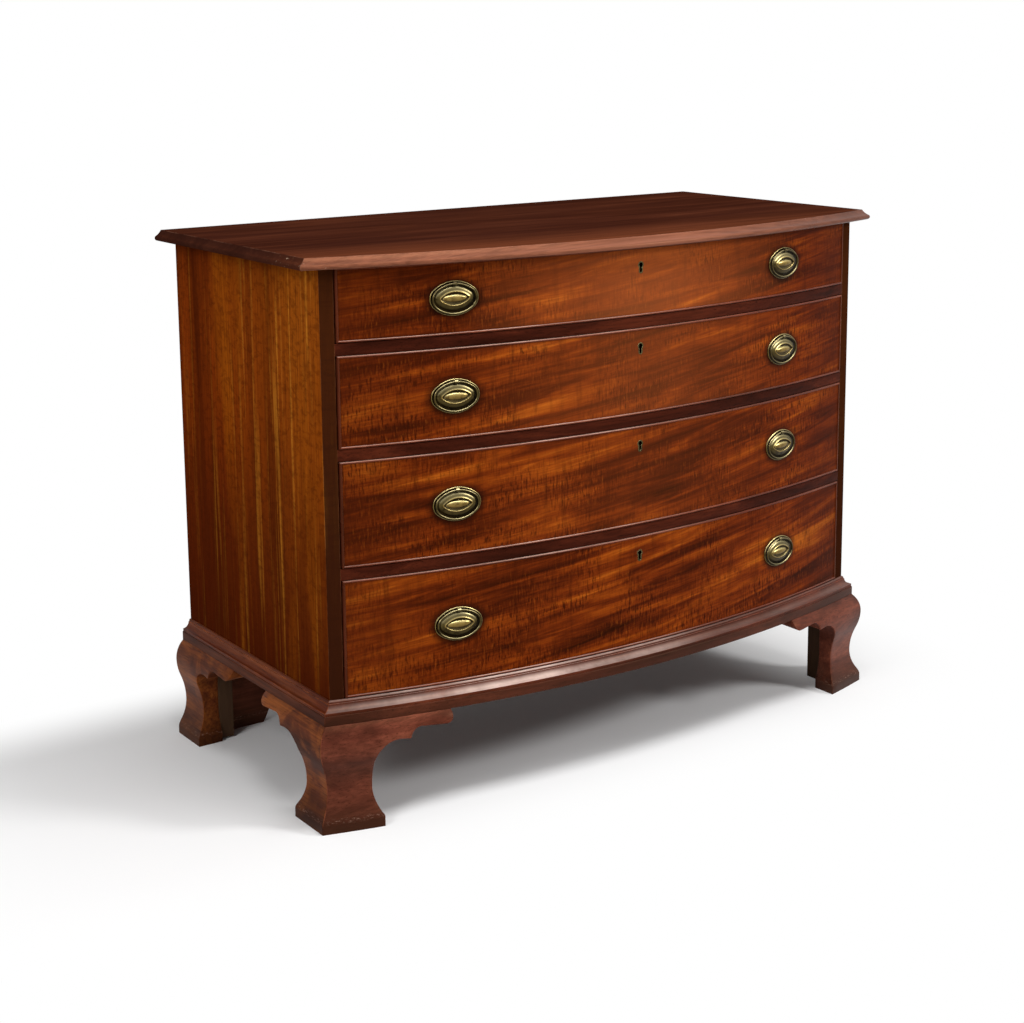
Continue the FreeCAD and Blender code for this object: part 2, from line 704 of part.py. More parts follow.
# ---------------------------------------------------------------- drawer front and cock bead
def before_rebate(number):
    """Everything in front of the rebate floor that the beads of a drawer front rest on."""
    low, high = drawer_levels(number)[:2]
    half = drawer_half_width + over_cut
    return bow_band(-half, half, front_thickness, -bead_depth, low - over_cut, high + over_cut,
                    flats=rebate_flat_count)


def bead_section(z_edge, inward):
    """Section of the bead on the top or bottom edge, with a half-round nose."""
    half = bead_thickness / 2
    return outline(at_bow_middle, (-front_thickness, z_edge), (bead_projection - half, z_edge),
                   ((bead_projection, z_edge + inward * half),
                    (bead_projection - half, z_edge + inward * bead_thickness)),
                   (-front_thickness, z_edge + inward * bead_thickness), flats=moulding_flat_count)


def make_cock_bead(number):
    """Top, bottom, left and right beads, mitred at the corners."""
    low, high = drawer_levels(number)[:2]
    middle = (low + high) / 2
    half = drawer_half_width
    far = half - (high - low) / 2

    def mitred(*corners):
        face = outline(lambda x, z: Vector(x, corner_y - 3 * margin, z), *corners)
        return face.extrude(Vector(0, 6 * margin, 0))

    beads = []
    for z_edge, inward in ((low, 1), (high, -1)):
        strip = bow_sweep(bead_section(z_edge, inward))
        beads.append(strip.common(mitred((-half, z_edge), (half, z_edge), (far, middle), (-far, middle))))
    inner_x = half - bead_thickness
    nose_x = half - bead_thickness / 2
    nose = bead_projection - bead_thickness / 2
    plan = outline(in_plan(low), (inner_x, bow_y(inner_x, -front_thickness)), (inner_x, bow_y(inner_x, nose)),
                   ((nose_x, bow_y(nose_x, bead_projection)), (half, bow_y(half, nose))),
                   (half, bow_y(half, -front_thickness)), flats=moulding_flat_count)
    right = plan.extrude(Vector(0, 0, high - low))
    right = right.common(mitred((half, low), (half, high), (far, middle)))
    return [bead.common(before_rebate(number)) for bead in beads + [right, mirrored(right)]]


def keyhole_face(y, grow, z_middle):
    """Keyhole outline: a round head over a straight slot with a rounded foot."""
    head = keyhole_radius + grow
    slot = keyhole_slot_width / 2 + grow
    head_z = z_middle + keyhole_height / 2 - keyhole_radius
    foot_z = z_middle - keyhole_height / 2 + keyhole_slot_width / 2
    shoulder = head_z - math.sqrt(head ** 2 - slot ** 2)
    return outline(lambda x, z: Vector(x, y, z), (slot, shoulder), ((0.0, head_z + head), (-slot, shoulder)),
                   (-slot, foot_z), ((0.0, foot_z - slot), (slot, foot_z)), flats=keyhole_flat_count)


def keyhole_level(number):
    return opening_span(number)[1] - keyhole_drop


def keyhole_cut(number):
    """Hole for the key, sized for the brass that lines its front."""
    outer = keyhole_face(bow_y(0) - margin, liner_thickness, keyhole_level(number))
    return outer.extrude(Vector(0, margin + front_thickness, 0))


def make_keyhole_liner(number):
    start = bow_y(0) - liner_projection
    z_middle = keyhole_level(number)
    depth = Vector(0, liner_depth + liner_projection, 0)
    outer = keyhole_face(start, liner_thickness, z_middle).extrude(depth)
    return outer.cut(keyhole_face(start, 0.0, z_middle).extrude(depth))


def lock_recess(number):
    """Room in the back of the drawer front for the lock, open to the rear and at the top edge."""
    high = drawer_levels(number)[1]
    rear_y = bow_y(0, -front_thickness)
    case_y = rear_y - lock_plate_thickness - lock_thickness
    half = lock_width / 2
    wide = half + lock_plate_margin
    low = high - lock_height - lock_plate_thickness
    case = box((-half, half), (case_y, rear_y + margin), (low, high))
    plate = box((-wide, wide), (rear_y - lock_plate_thickness, rear_y + margin),
                (low - lock_plate_margin, high))
    edge = box((-wide, wide), (case_y, rear_y + margin), (high - lock_plate_thickness, high))
    return case.fuse(plate).fuse(edge)


def make_lock(number):
    """Half-mortise lock: box, back plate and top strip in one, hollow for the bolt and the key."""
    high = drawer_levels(number)[1]
    face_y = bow_y(0)
    rear_y = bow_y(0, -front_thickness)
    body = lock_recess(number)
    body = body.cut(box((-margin, margin), (rear_y, rear_y + 3 * margin), (high - 3 * margin, high + margin)))
    half = bolt_width / 2 + bolt_clearance
    thick = bolt_thickness / 2 + bolt_clearance
    bolt_y = face_y + bolt_setback
    floor = high - bolt_sink - bolt_height - bolt_clearance
    body = body.cut(box((-half, half), (bolt_y - thick, bolt_y + thick), (floor, high + over_cut)))
    well_y = rear_y - lock_plate_thickness - lock_thickness
    low = high - lock_height - lock_plate_thickness
    return body.cut(box((-keyhole_height / 2, keyhole_height / 2), (well_y, bolt_y + thick),
                        (low + lock_wall, floor - lock_wall)))


def make_lock_bolt(number):
    high = drawer_levels(number)[1] - bolt_sink
    bolt_y = bow_y(0) + bolt_setback
    half = bolt_width / 2
    thick = bolt_thickness / 2
    return box((-half, half), (bolt_y - thick, bolt_y + thick), (high - bolt_height, high))


# ---------------------------------------------------------------- brass pulls
def on_front(side, number):
    """Placement of a pull: its own x lies along the bow, its own y points into the drawer."""
    x = side * pull_spacing / 2
    low, high = opening_span(number)
    z = (low + high) / 2 + pull_lifts[number - 1]
    turn = math.degrees(math.asin(x / bow_radius))
    return FreeCAD.Placement(Vector(x, bow_y(x), z), FreeCAD.Rotation(Vector(0, 0, 1), turn))


def placed(shape, placement):
    return shape.transformed(placement.toMatrix(), True)


def oval(half_length, half_height, end_radius, grow, height, z_middle=0.0):
    """Corners of an oval of four tangent arcs in the plane y = -height, grown outward by grow.
    Ovals of the same three sizes have their sides parallel, whatever their growth."""
    end_x = half_length - end_radius
    drop = (end_x ** 2 - (half_height - end_radius) ** 2) / (2 * (half_height - end_radius))
    join = math.atan2(drop, end_x)
    corners = []

    def run(centre_x, centre_z, radius, start, span, flats):
        for index in range(flats):
            angle = start + span * index / flats
            corners.append(Vector(centre_x + (radius + grow) * math.cos(angle), -height,
                                  z_middle + centre_z + (radius + grow) * math.sin(angle)))

    for turn, sign in ((0.0, 1), (math.pi, -1)):
        run(sign * end_x, 0.0, end_radius, turn - join, 2 * join, oval_end_flat_count)
        run(0.0, -sign * drop, half_height + drop, turn + join, math.pi - 2 * join, oval_side_flat_count)
    return corners


def skinned(loops, closed=False):
    """Solid whose skin joins each loop of corners to the next: a stack with two ends, or a closed ring."""
    bands = list(zip(loops, loops[1:] + loops[:1])) if closed else list(zip(loops, loops[1:]))
    faces = []
    for lower, upper in bands:
        for index in range(len(lower)):
            here = index - 1
            faces.append(Part.Face(Part.makePolygon(
                [lower[here], lower[index], upper[index], upper[here], lower[here]])))
    if not closed:
        faces += [Part.Face(Part.makePolygon(loop + loop[:1])) for loop in (loops[0], loops[-1])]
    shell = Part.makeShell(faces)
    shell.sewShape()
    solid = Part.makeSolid(shell)
    return solid if solid.Volume > 0 else solid.reversed()


def make_boss():
    """Pointed oval swelling between two arcs, in stages that shrink as they rise."""
    radius = (boss_half_length ** 2 + boss_half_height ** 2) / (2 * boss_half_height)
    half_angle = math.asin(boss_half_length / radius)
    loops = []
    for share, height in boss_stages:
        corners = []
        for sign in (1, -1):
            for index in range(boss_flat_count):
                angle = half_angle * (2 * index / boss_flat_count - 1)
                corners.append(Vector(sign * share * radius * math.sin(angle), -height, sign * share * (
                    radius * math.cos(angle) - radius + boss_half_height)))
        loops.append(corners)
    return skinned(loops)


def make_pull_plate():
    """Stamped oval plate: flat margin that the ring lies over, dome, lip round a sunk well, and a boss."""
    stages = ((0.0, 0.0), (0.0, plate_base_height), (plate_dome_inset, plate_base_height),
              (plate_shoulder_inset, plate_shoulder_height), (plate_lip_inset, plate_lip_height),
              (plate_well_inset, plate_well_height))
    plate = skinned([oval(plate_half_length, plate_half_height, plate_end_radius, -inset, height)
                     for inset, height in stages])
    return plate.fuse(make_boss()).cut(post_passage())


def post_passage():
    """Square hole for the shank, through plate and drawer front."""
    half = post_width / 2 + post_clearance
    return box((-half, half), (-margin, margin), (hinge_z - half, hinge_z + half))


def ring_eye():
    """Eye that the ring hangs in: round in front, where the wire bears, and flat-sided behind."""
    radius = ring_wire_radius + ring_clearance
    corner = radius * math.tan(math.pi / 8)
    section = outline(lambda forward, up: Vector(-knuckle_length, -ring_axis_height - forward, hinge_z + up),
                      (0.0, -radius), ((radius, 0.0), (0.0, radius)), (-corner, radius),
                      (-radius, corner), (-radius, -corner), (-corner, -radius))
    return section.extrude(Vector(2 * knuckle_length, 0, 0))


def make_knuckle():
    """Bar of equal flats along the hinge axis, standing on the plate, with the eye through it."""
    half_turn = math.pi / knuckle_flat_count
    corner = knuckle_radius / math.cos(half_turn)
    loop = [Vector(-knuckle_length / 2, -ring_axis_height + corner * math.cos(half_turn * (2 * index + 1)),
                   hinge_z + corner * math.sin(half_turn * (2 * index + 1)))
            for index in range(knuckle_flat_count)]
    bar = Part.Face(Part.makePolygon(loop + loop[:1])).extrude(Vector(knuckle_length, 0, 0))
    bar = bar.common(box((-knuckle_length, knuckle_length), (-margin, -plate_base_height),
                         (hinge_z - margin, hinge_z + margin)))
    return bar.cut(ring_eye())


def make_pull_post():
    """Post through plate and drawer front: a knuckle that the ring hangs in, and a square shank."""
    half = post_width / 2
    rear_y = front_thickness + nut_thickness + post_end
    shank = box((-half, half), (-plate_base_height, rear_y), (hinge_z - half, hinge_z + half))
    nut = box((-nut_size / 2, nut_size / 2), (front_thickness, front_thickness + nut_thickness),
              (hinge_z - nut_size / 2, hinge_z + nut_size / 2))
    return make_knuckle().fuse(shank).removeSplitter(), nut.cut(shank)


def make_pull_ring():
    """Closed oval ring of wire, whose skin is a loop of ovals set round the wire's own section."""
    z_middle = hinge_z - ring_half_height
    loops = []
    for index in range(ring_wire_flat_count):
        angle = 2 * math.pi * index / ring_wire_flat_count
        loops.append(oval(ring_half_length, ring_half_height, ring_end_radius, ring_wire_radius * math.cos(angle),
                          ring_axis_height + ring_wire_radius * math.sin(angle), z_middle))
    return skinned(loops, closed=True)


def make_drawer_front(number):
    low, high, side_low, side_high, groove_low = drawer_levels(number)
    half = drawer_half_width
    front = bow_band(-half, half, 0.0, -front_thickness, low, high)
    core = bow_band(-half + bead_thickness, half - bead_thickness, 0.0, -front_thickness,
                    low + bead_thickness, high - bead_thickness)
    front = front.cut(before_rebate(number).cut(core))
    for wedge in front_tails(number):
        front = front.cut(wedge).cut(mirrored(wedge))
    groove_half = drawer_inner_x + panel_groove_depth
    front = front.cut(bow_band(-groove_half, groove_half, -front_thickness + panel_groove_depth,
                               -front_thickness - over_cut, groove_low, groove_low + panel_groove_height,
                               flats=panel_flat_count))
    for side in (-1, 1):
        front = front.cut(placed(post_passage(), on_front(side, number)))
    return front.cut(lock_recess(number)).cut(keyhole_cut(number))


# ---------------------------------------------------------------- the whole chest
def save_case():
    save("top_board", make_top_board())
    save("left_side_board", make_side_board(-1))
    save("right_side_board", make_side_board(1))
    save("bottom_board", make_bottom_board())
    save("back_boards", *make_back_boards())
    for number in (1, 2, 3):
        save("drawer_rail_%d" % number, make_rail(number))
    save("drawer_runners", *[runner(side, number) for number in (1, 2, 3) for side in (-1, 1)])


def save_base():
    save("base_frame", *make_base_frame()[0])
    save("base_moulding", *make_base_mouldings())
    for side, name in ((-1, "left"), (1, "right")):
        save("front_%s_foot" % name, *make_front_foot(side))
        save("rear_%s_foot" % name, *make_rear_foot(side))
    save("foot_glue_blocks", *make_foot_blocks())


def save_drawer(number):
    name = "drawer_%d_" % number
    right_side = make_drawer_side(number)
    save(name + "front", make_drawer_front(number))
    save(name + "sides", mirrored(right_side), right_side)
    save(name + "back", make_drawer_back(number))
    save(name + "bottom", make_drawer_bottom(number))
    save(name + "cock_bead", *make_cock_bead(number))
    save(name + "lock", make_lock(number))
    save(name + "lock_bolt", make_lock_bolt(number))
    left_place = on_front(-1, number)
    right_place = on_front(1, number)
    plate = make_pull_plate()
    save(name + "front_brasses", placed(plate, left_place), placed(plate, right_place),
         make_keyhole_liner(number))
    post, nut = make_pull_post()
    save(name + "pull_posts", *[placed(piece, place) for place in (left_place, right_place)
                                for piece in (post, nut)])
    ring = make_pull_ring()
    save(name + "ring_left", placed(ring, left_place))
    save(name + "ring_right", placed(ring, right_place))


os.makedirs("parts", exist_ok=True)
save_case()
save_base()
for drawer_number in range(1, len(drawer_openings) + 1):
    save_drawer(drawer_number)
print("overall width", 2 * top_half_width, "depth", back_y - bow_y(0, top_front_overhang), "height", top_z)
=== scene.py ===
# %% [markdown]
# # A bow-front chest of drawers
# The chest is a mahogany case of four long drawers whose front swells forward in one even curve,
# the bow. It stands on four ogee bracket feet, and each drawer has two oval brass pulls.
# We begin with the joinery, already packed as a frame of plain solids: it fixes every size and
# every motion. Here we only dress it: smoother mouldings, figured veneer, brass and polish.

# %% Load the joinery
import math

import bmesh
import bpy
from mathutils import Matrix, Vector


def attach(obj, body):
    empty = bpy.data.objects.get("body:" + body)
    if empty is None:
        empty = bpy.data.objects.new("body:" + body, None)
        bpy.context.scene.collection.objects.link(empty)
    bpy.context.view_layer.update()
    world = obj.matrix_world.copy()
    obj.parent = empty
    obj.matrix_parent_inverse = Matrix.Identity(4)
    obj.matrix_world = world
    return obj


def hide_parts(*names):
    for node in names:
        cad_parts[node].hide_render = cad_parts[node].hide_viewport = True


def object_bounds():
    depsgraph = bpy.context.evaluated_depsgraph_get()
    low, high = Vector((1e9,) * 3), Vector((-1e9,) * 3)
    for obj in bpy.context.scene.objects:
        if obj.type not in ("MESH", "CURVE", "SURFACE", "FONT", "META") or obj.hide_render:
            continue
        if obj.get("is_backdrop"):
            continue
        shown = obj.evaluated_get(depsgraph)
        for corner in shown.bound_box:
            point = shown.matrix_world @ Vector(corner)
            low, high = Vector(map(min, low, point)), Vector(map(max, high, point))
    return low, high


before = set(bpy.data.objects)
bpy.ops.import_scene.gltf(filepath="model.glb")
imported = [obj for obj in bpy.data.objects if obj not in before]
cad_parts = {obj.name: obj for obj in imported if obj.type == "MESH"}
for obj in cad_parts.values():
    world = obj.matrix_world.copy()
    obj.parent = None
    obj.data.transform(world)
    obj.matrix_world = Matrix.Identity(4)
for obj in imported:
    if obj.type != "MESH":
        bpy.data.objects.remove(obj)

cad_low, cad_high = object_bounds()

# %% [markdown]
# ## The bow
# Every front piece follows one circle seen from above. If each piece used its own curve, the gaps
# between them would wander, so we keep one radius and one centre, and measure everything by its
# `offset`: how far it stands in front of the bowed face of the case. All lengths are in metres.

# %% The one curve of the front
CASE_HALF = 0.510          # half the width of the case
CORNER_Y = -0.18375        # front corner of the case, from the middle of the floor
BACK_Y = 0.27825           # back of the case
BOW_RADIUS = 1.84225
BOW_CENTRE = Vector((0.0, 1.5865, 0.0))
BOW_FRONT = BOW_CENTRE.y - BOW_RADIUS


def bow_y(x, offset=0.0):
    """How far forward or back the front is, at this x."""
    return BOW_CENTRE.y - math.sqrt((BOW_RADIUS + offset) ** 2 - x ** 2)


print("the bow rises %.0f mm" % (1000 * (CORNER_Y - BOW_FRONT)))

# %% [markdown]
# ## The camera
# A camera is an empty box with a lens: `lens` is its length in millimetres for a sensor 36 mm wide.
# We turn it about Z to face the chest, tip it down a little, then roll it. A small downward
# `shift_y` slides the picture in its frame, as a view camera does, so the uprights stay upright.

# %% Stand the camera at the left front corner
EYE = (-1.70865, -2.36881, 1.13126)          # where the lens stands
TURN, TIP, ROLL = -34.858, 10.170, -0.497    # degrees
camera = bpy.data.objects.new("camera", bpy.data.cameras.new("camera"))
bpy.context.scene.collection.objects.link(camera)
bpy.context.scene.camera = camera
camera.data.sensor_width = 36.0
camera.data.lens = 63.97
camera.data.shift_y = -0.150
camera.data.clip_end = 60.0
camera.matrix_world = (
    Matrix.Translation(EYE)
    @ Matrix.Rotation(math.radians(TURN), 4, "Z")
    @ Matrix.Rotation(math.radians(90.0 - TIP), 4, "X")
    @ Matrix.Rotation(math.radians(ROLL), 4, "Z")
)
print("camera height %.2f m" % camera.matrix_world.translation.z)

# %% [markdown]
# ## Nodes
# A material is a small machine of nodes: each takes numbers or colours in on its left and gives
# one out on its right. Adding and joining them by hand takes three lines a node, so we first
# write helpers that add a node, feed its sockets and hand back what comes out.

# %% Node helpers


def new_finish(name):
    """A new material, and its Principled shader."""
    material = bpy.data.materials.new(name)
    material.use_nodes = True
    return material, material.node_tree.nodes["Principled BSDF"]


def node(tree, kind, inputs=(), **settings):
    """Add a node; inputs are (socket, value or output socket) pairs."""
    made = tree.nodes.new(kind)
    for name, value in settings.items():
        setattr(made, name, value)
    for socket, value in inputs:
        if isinstance(value, bpy.types.NodeSocket):
            tree.links.new(value, made.inputs[socket])
        else:
            made.inputs[socket].default_value = value
    return made


def sums(tree, operation, *values):
    """One sum on numbers, such as ADD or MULTIPLY."""
    return node(tree, "ShaderNodeMath", enumerate(values), operation=operation).outputs[0]


def vector_sums(tree, operation, *values):
    """The same on vectors: the outputs hold a vector, and a number for LENGTH and DOT_PRODUCT."""
    return node(tree, "ShaderNodeVectorMath", enumerate(values), operation=operation).outputs


# %% [markdown]
# ## Floor and light
# A plain floor catches the soft shadow that makes heavy furniture sit down, and the page behind
# is white. White that bright would also bleach the wood, so both look at the *kind* of ray that
# asks: rays from the lens, a mirror or glass see white, and the light that falls on the chest
# comes from a much dimmer sky.

# %% World
SKY_LIGHT = 0.27
WHITE = (1.0, 1.0, 1.0, 1.0)


def plain_sight(tree):
    """1 for rays from the lens, a mirror or glass, and 0 for the light that falls on things."""
    path = node(tree, "ShaderNodeLightPath").outputs
    seen = sums(tree, "MAXIMUM", path["Is Camera Ray"], path["Is Glossy Ray"])
    return sums(tree, "MAXIMUM", seen, path["Is Transmission Ray"])


world = bpy.data.worlds.new("studio")
bpy.context.scene.world = world
world.use_nodes = True
tree = world.node_tree
sky = tree.nodes["Background"]
sky.inputs["Color"].default_value = WHITE
sky.inputs["Strength"].default_value = SKY_LIGHT
page = node(tree, "ShaderNodeBackground", [("Color", WHITE), ("Strength", 1.0)])
choice = node(tree, "ShaderNodeMixShader",
              [(0, plain_sight(tree)), (1, sky.outputs[0]), (2, page.outputs[0])])
tree.links.new(choice.outputs[0], tree.nodes["World Output"].inputs["Surface"])
bpy.context.scene.view_settings.view_transform = "Standard"
print("sky light:", SKY_LIGHT)

# %% [markdown]
# The floor keeps its own pale grey near the chest, so the shadow shows, and fades to white
# further off. How far off is the distance from a box drawn round the shadow: ABSOLUTE folds the
# floor's four quarters onto one, and taking the box's half size away leaves what lies outside.

# %% Floor
FLOOR_HALF = 9.0
BOX_SHIFT = (0.20, -0.06, 0.0)    # brings the middle of the box to the origin
BOX_HALF = (0.57, 0.23, 0.0)
BOX_HASTE = (1.0, 2.2, 0.0)       # how fast the distance counts along x and y
FADE_END = 0.46                   # from here on the floor is white

floor_shape = bmesh.new()
bmesh.ops.create_grid(floor_shape, x_segments=1, y_segments=1, size=FLOOR_HALF)
floor_mesh = bpy.data.meshes.new("floor")
floor_shape.to_mesh(floor_mesh)
floor_shape.free()
floor = bpy.data.objects.new("floor", floor_mesh)
bpy.context.scene.collection.objects.link(floor)
floor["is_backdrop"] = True

material, paint = new_finish("pale_floor")
floor_mesh.materials.append(material)
paint.inputs["Base Color"].default_value = (0.94, 0.94, 0.94, 1.0)
paint.inputs["Roughness"].default_value = 0.9
paint.inputs["Specular IOR Level"].default_value = 0.1
tree = material.node_tree
place = node(tree, "ShaderNodeTexCoord").outputs["Object"]
folded = vector_sums(tree, "ABSOLUTE", vector_sums(tree, "ADD", place, BOX_SHIFT)[0])[0]
outside = vector_sums(tree, "SUBTRACT", folded, BOX_HALF)[0]
outside = vector_sums(tree, "MULTIPLY", outside, BOX_HASTE)[0]
outside = vector_sums(tree, "MAXIMUM", outside, (0.0, 0.0, 0.0))[0]
distance = vector_sums(tree, "LENGTH", outside)["Value"]
fade = node(tree, "ShaderNodeMapRange",
            [("Value", distance), ("From Min", 0.0), ("From Max", FADE_END)],
            interpolation_type="SMOOTHSTEP")
share = sums(tree, "MULTIPLY", fade.outputs[0], plain_sight(tree))
glow = node(tree, "ShaderNodeEmission", [("Color", WHITE), ("Strength", 1.0)])
floor_mix = node(tree, "ShaderNodeMixShader",
                 [(0, share), (1, paint.outputs[0]), (2, glow.outputs[0])])
tree.links.new(floor_mix.outputs[0], tree.nodes["Material Output"].inputs["Surface"])
print("floor %.0f m wide" % (2 * FLOOR_HALF))

# %% [markdown]
# Three large soft lamps light the chest as a room with tall windows would. The first stands to
# the right and models the bow, the second hangs overhead along the front, and the third opens up
# the left side. The larger a lamp is, the softer the edge of its shadow.

# %% Lamps


def soft_lamp(name, size, watts, where, towards):
    """A sheet of light, like a window or a softbox."""
    lamp = bpy.data.lights.new(name, "AREA")
    lamp.shape = "RECTANGLE"
    lamp.size, lamp.size_y = size
    lamp.energy = watts
    thing = bpy.data.objects.new(name, lamp)
    thing.location = where
    aim = Vector(towards) - Vector(where)
    thing.rotation_euler = aim.to_track_quat("-Z", "Y").to_euler()
    bpy.context.scene.collection.objects.link(thing)
    print(name, watts, "W")


soft_lamp("key_softbox", (0.8, 0.7), 68.0, (2.3, -2.7, 2.3), (0.1, -0.2, 0.40))
soft_lamp("overhead_strip", (2.0, 0.7), 40.0, (-0.1, -1.1, 2.7), (0.0, -0.1, 0.45))
soft_lamp("left_softbox", (0.9, 1.1), 30.0, (-2.7, -0.9, 1.9), (-0.5, 0.0, 0.45))

# %% [markdown]
# ## Mahogany
# Polished mahogany runs from straw, where it is rubbed, to nearly black in its hollows. Its colours
# are easiest to name as a paint chart does, but Blender mixes light and not chart numbers, so each
# one is turned into light first. Mixed unturned, every middle tone would come out too pale.

# %% Colours as light


def srgb(red, green, blue):
    """A colour as a paint chart gives it, from 0 to 255, turned into the light it stands for."""
    def light(value):
        share = value / 255.0
        return share / 12.92 if share <= 0.04045 else ((share + 0.055) / 1.055) ** 2.4
    return (light(red), light(green), light(blue), 1.0)


def scaled(colour, factor):
    """The same colour, darker or lighter."""
    return [min(1.0, factor * c) for c in colour[:3]] + [1.0]


print("a chart's middle grey gives back %.2f of the light" % srgb(128, 128, 128)[0])

# %% [markdown]
# Wood is read in three scales: broad bands where the tree grew faster or slower, fine streaks of
# fibre, and open pores like short pencil ticks. Each is a noise pattern squeezed across the grain.
# All of them read Object coordinates, so the figure stays on the board when a drawer slides.

# %% Patterns along the grain


def grain_space(tree, scale, turn=(0.0, 0.0, 0.0)):
    """Object coordinates, turned and stretched so that the pattern runs along the grain."""
    place = node(tree, "ShaderNodeTexCoord").outputs["Object"]
    turned = node(tree, "ShaderNodeMapping", [("Vector", place), ("Rotation", turn)]).outputs[0]
    return node(tree, "ShaderNodeMapping", [("Vector", turned), ("Scale", scale)]).outputs[0]


def noise(tree, space, detail=4.0, rough=0.55, bend=0.0):
    """A cloudy pattern from 0 to 1, mostly near the middle."""
    return node(tree, "ShaderNodeTexNoise", [("Vector", space), ("Scale", 1.0), ("Detail", detail),
                                             ("Roughness", rough), ("Distortion", bend)]).outputs[0]


def stretch(tree, value, low, high, to_low=0.0, to_high=1.0):
    """Pull the part of a pattern between low and high out to a full range."""
    return node(tree, "ShaderNodeMapRange", [("Value", value), ("From Min", low),
                                             ("From Max", high), ("To Min", to_low),
                                             ("To Max", to_high)]).outputs[0]


def times(tree, first, second):
    return sums(tree, "MULTIPLY", first, second)


# %% [markdown]
# A pattern is only numbers until it is given colours. There are two ways: a share between two
# colours, which suits wear and stains over a ground, and a ramp with a colour at each place along
# it, which suits the ground itself, where dark, middle and pale wood run into one another.

# %% Mixing colours


def blend(tree, share, first, second):
    """Two colours mixed: a share of 0 is all the first, and 1 all the second."""
    return node(tree, "ShaderNodeMix", [(0, share), (6, first), (7, second)],
                data_type="RGBA").outputs[2]


def colours(tree, value, *stops):
    """A colour ramp: stops are (place, colour)."""
    ramp = node(tree, "ShaderNodeValToRGB", [("Fac", value)])
    while len(ramp.color_ramp.elements) < len(stops):
        ramp.color_ramp.elements.new(0.5)
    for element, (where, colour) in zip(ramp.color_ramp.elements, stops):
        element.position, element.color = where, colour
    return ramp.outputs[0]


# %% [markdown]
# Some marks depend on where a point is or which way its face looks. Both are read on the piece
# itself, not in the room, so that they travel with a drawer. For an arris, which gets wear and a
# painted highlight, we ask the Bevel node to round the shading there: where that turns the
# surface away, an edge must be near.

# %% Reading the place and the face


def separate(tree, vector):
    return node(tree, "ShaderNodeSeparateXYZ", [(0, vector)]).outputs


def object_normal(tree):
    """Which way a face looks, on the piece itself, so that it turns with the piece."""
    return separate(tree, node(tree, "ShaderNodeTexCoord").outputs["Normal"])


def place_on_piece(tree):
    return separate(tree, node(tree, "ShaderNodeTexCoord").outputs["Object"])


def off_centre(tree, x, near, far, least):
    """1 close to this x, fading to the least value far from it."""
    away = sums(tree, "ABSOLUTE", sums(tree, "SUBTRACT", place_on_piece(tree)["X"], x))
    return stretch(tree, away, near, far, 1.0, least)


def near_arris(tree, radius):
    """How near a point is to an arris, and the rounded normal that tells it."""
    rounded = node(tree, "ShaderNodeBevel", [("Radius", radius)])
    rounded.samples = 4
    face = node(tree, "ShaderNodeNewGeometry").outputs["Normal"]
    same = vector_sums(tree, "DOT_PRODUCT", rounded.outputs[0], face)["Value"]
    return stretch(tree, same, 0.98, 0.80), rounded.outputs[0]


# %% [markdown]
# Whatever the board, the last coats are the same. The arrises are paler, rubbed by cloths and
# hands and given a painted highlight, the shine is patchy, the fibres print through the polish,
# and there are old dents.
# Old wax is a soft finish, so flat boards get only a faint reflection; mouldings get more.

# %% Last coats


def polish(tree, shader, tone, fibre, pale, shine=0.34, level=0.10, wear=0.35, arris=0.0018):
    """Arrises paler for wear and a painted highlight, patchy shine, fine grain and dents, over a
    finished colour.
    """
    edge, rounded = near_arris(tree, arris)
    patchy = noise(tree, grain_space(tree, (34.0, 34.0, 34.0)), 5.0, 0.65)
    # Pale arrises: wear, and a painted highlight along them.
    tone = blend(tree, times(tree, edge, stretch(tree, patchy, 0.42, 0.62, 0.0, wear)), tone, pale)
    tree.links.new(tone, shader.inputs["Base Color"])
    haze = noise(tree, grain_space(tree, (7.0, 7.0, 7.0)), 5.0, 0.6)
    tree.links.new(stretch(tree, haze, 0.30, 0.72, shine, shine + 0.16), shader.inputs["Roughness"])
    grain = node(tree, "ShaderNodeBump", [("Strength", 0.12), ("Distance", 0.0004),
                                          ("Height", fibre), ("Normal", rounded)])
    dents = node(tree, "ShaderNodeBump", [("Strength", 0.12), ("Distance", 0.0015),
                                          ("Height", haze), ("Normal", grain.outputs[0])])
    tree.links.new(dents.outputs[0], shader.inputs["Normal"])
    shader.inputs["Specular Tint"].default_value = srgb(255, 176, 120)
    shader.inputs["Specular IOR Level"].default_value = level


# %% [markdown]
# Two marks belong to some planks only. Feet grow darker towards the floor, and the ledge of each
# pad is knocked pale, which also serves as a painted highlight there. Mouldings and beads get a
# painted highlight: a broken line of light on what looks up, strongest left of the middle.

# %% Feet darker towards the floor, and painted highlights on ridges


def darker_low_and_pale_ledge(tree, tone, share):
    """Darker towards the floor, and pale knocks and a painted highlight where the flare meets the
    pad.
    """
    height = place_on_piece(tree)["Z"]
    tone = blend(tree, stretch(tree, height, 0.060, 0.012, 0.0, share), tone, srgb(40, 20, 13))
    knock = noise(tree, grain_space(tree, (150.0, 150.0, 600.0)), 6.0, 0.75)
    # The pale ledge is knocks and a painted highlight where the flare turns into the pad.
    ledge = times(tree, stretch(tree, height, 0.023, 0.018), stretch(tree, height, 0.013, 0.016))
    ledge_knocks_and_highlight = times(tree, ledge, stretch(tree, knock, 0.54, 0.68, 0.0, 0.6))
    return blend(tree, ledge_knocks_and_highlight, tone, srgb(170, 134, 116))


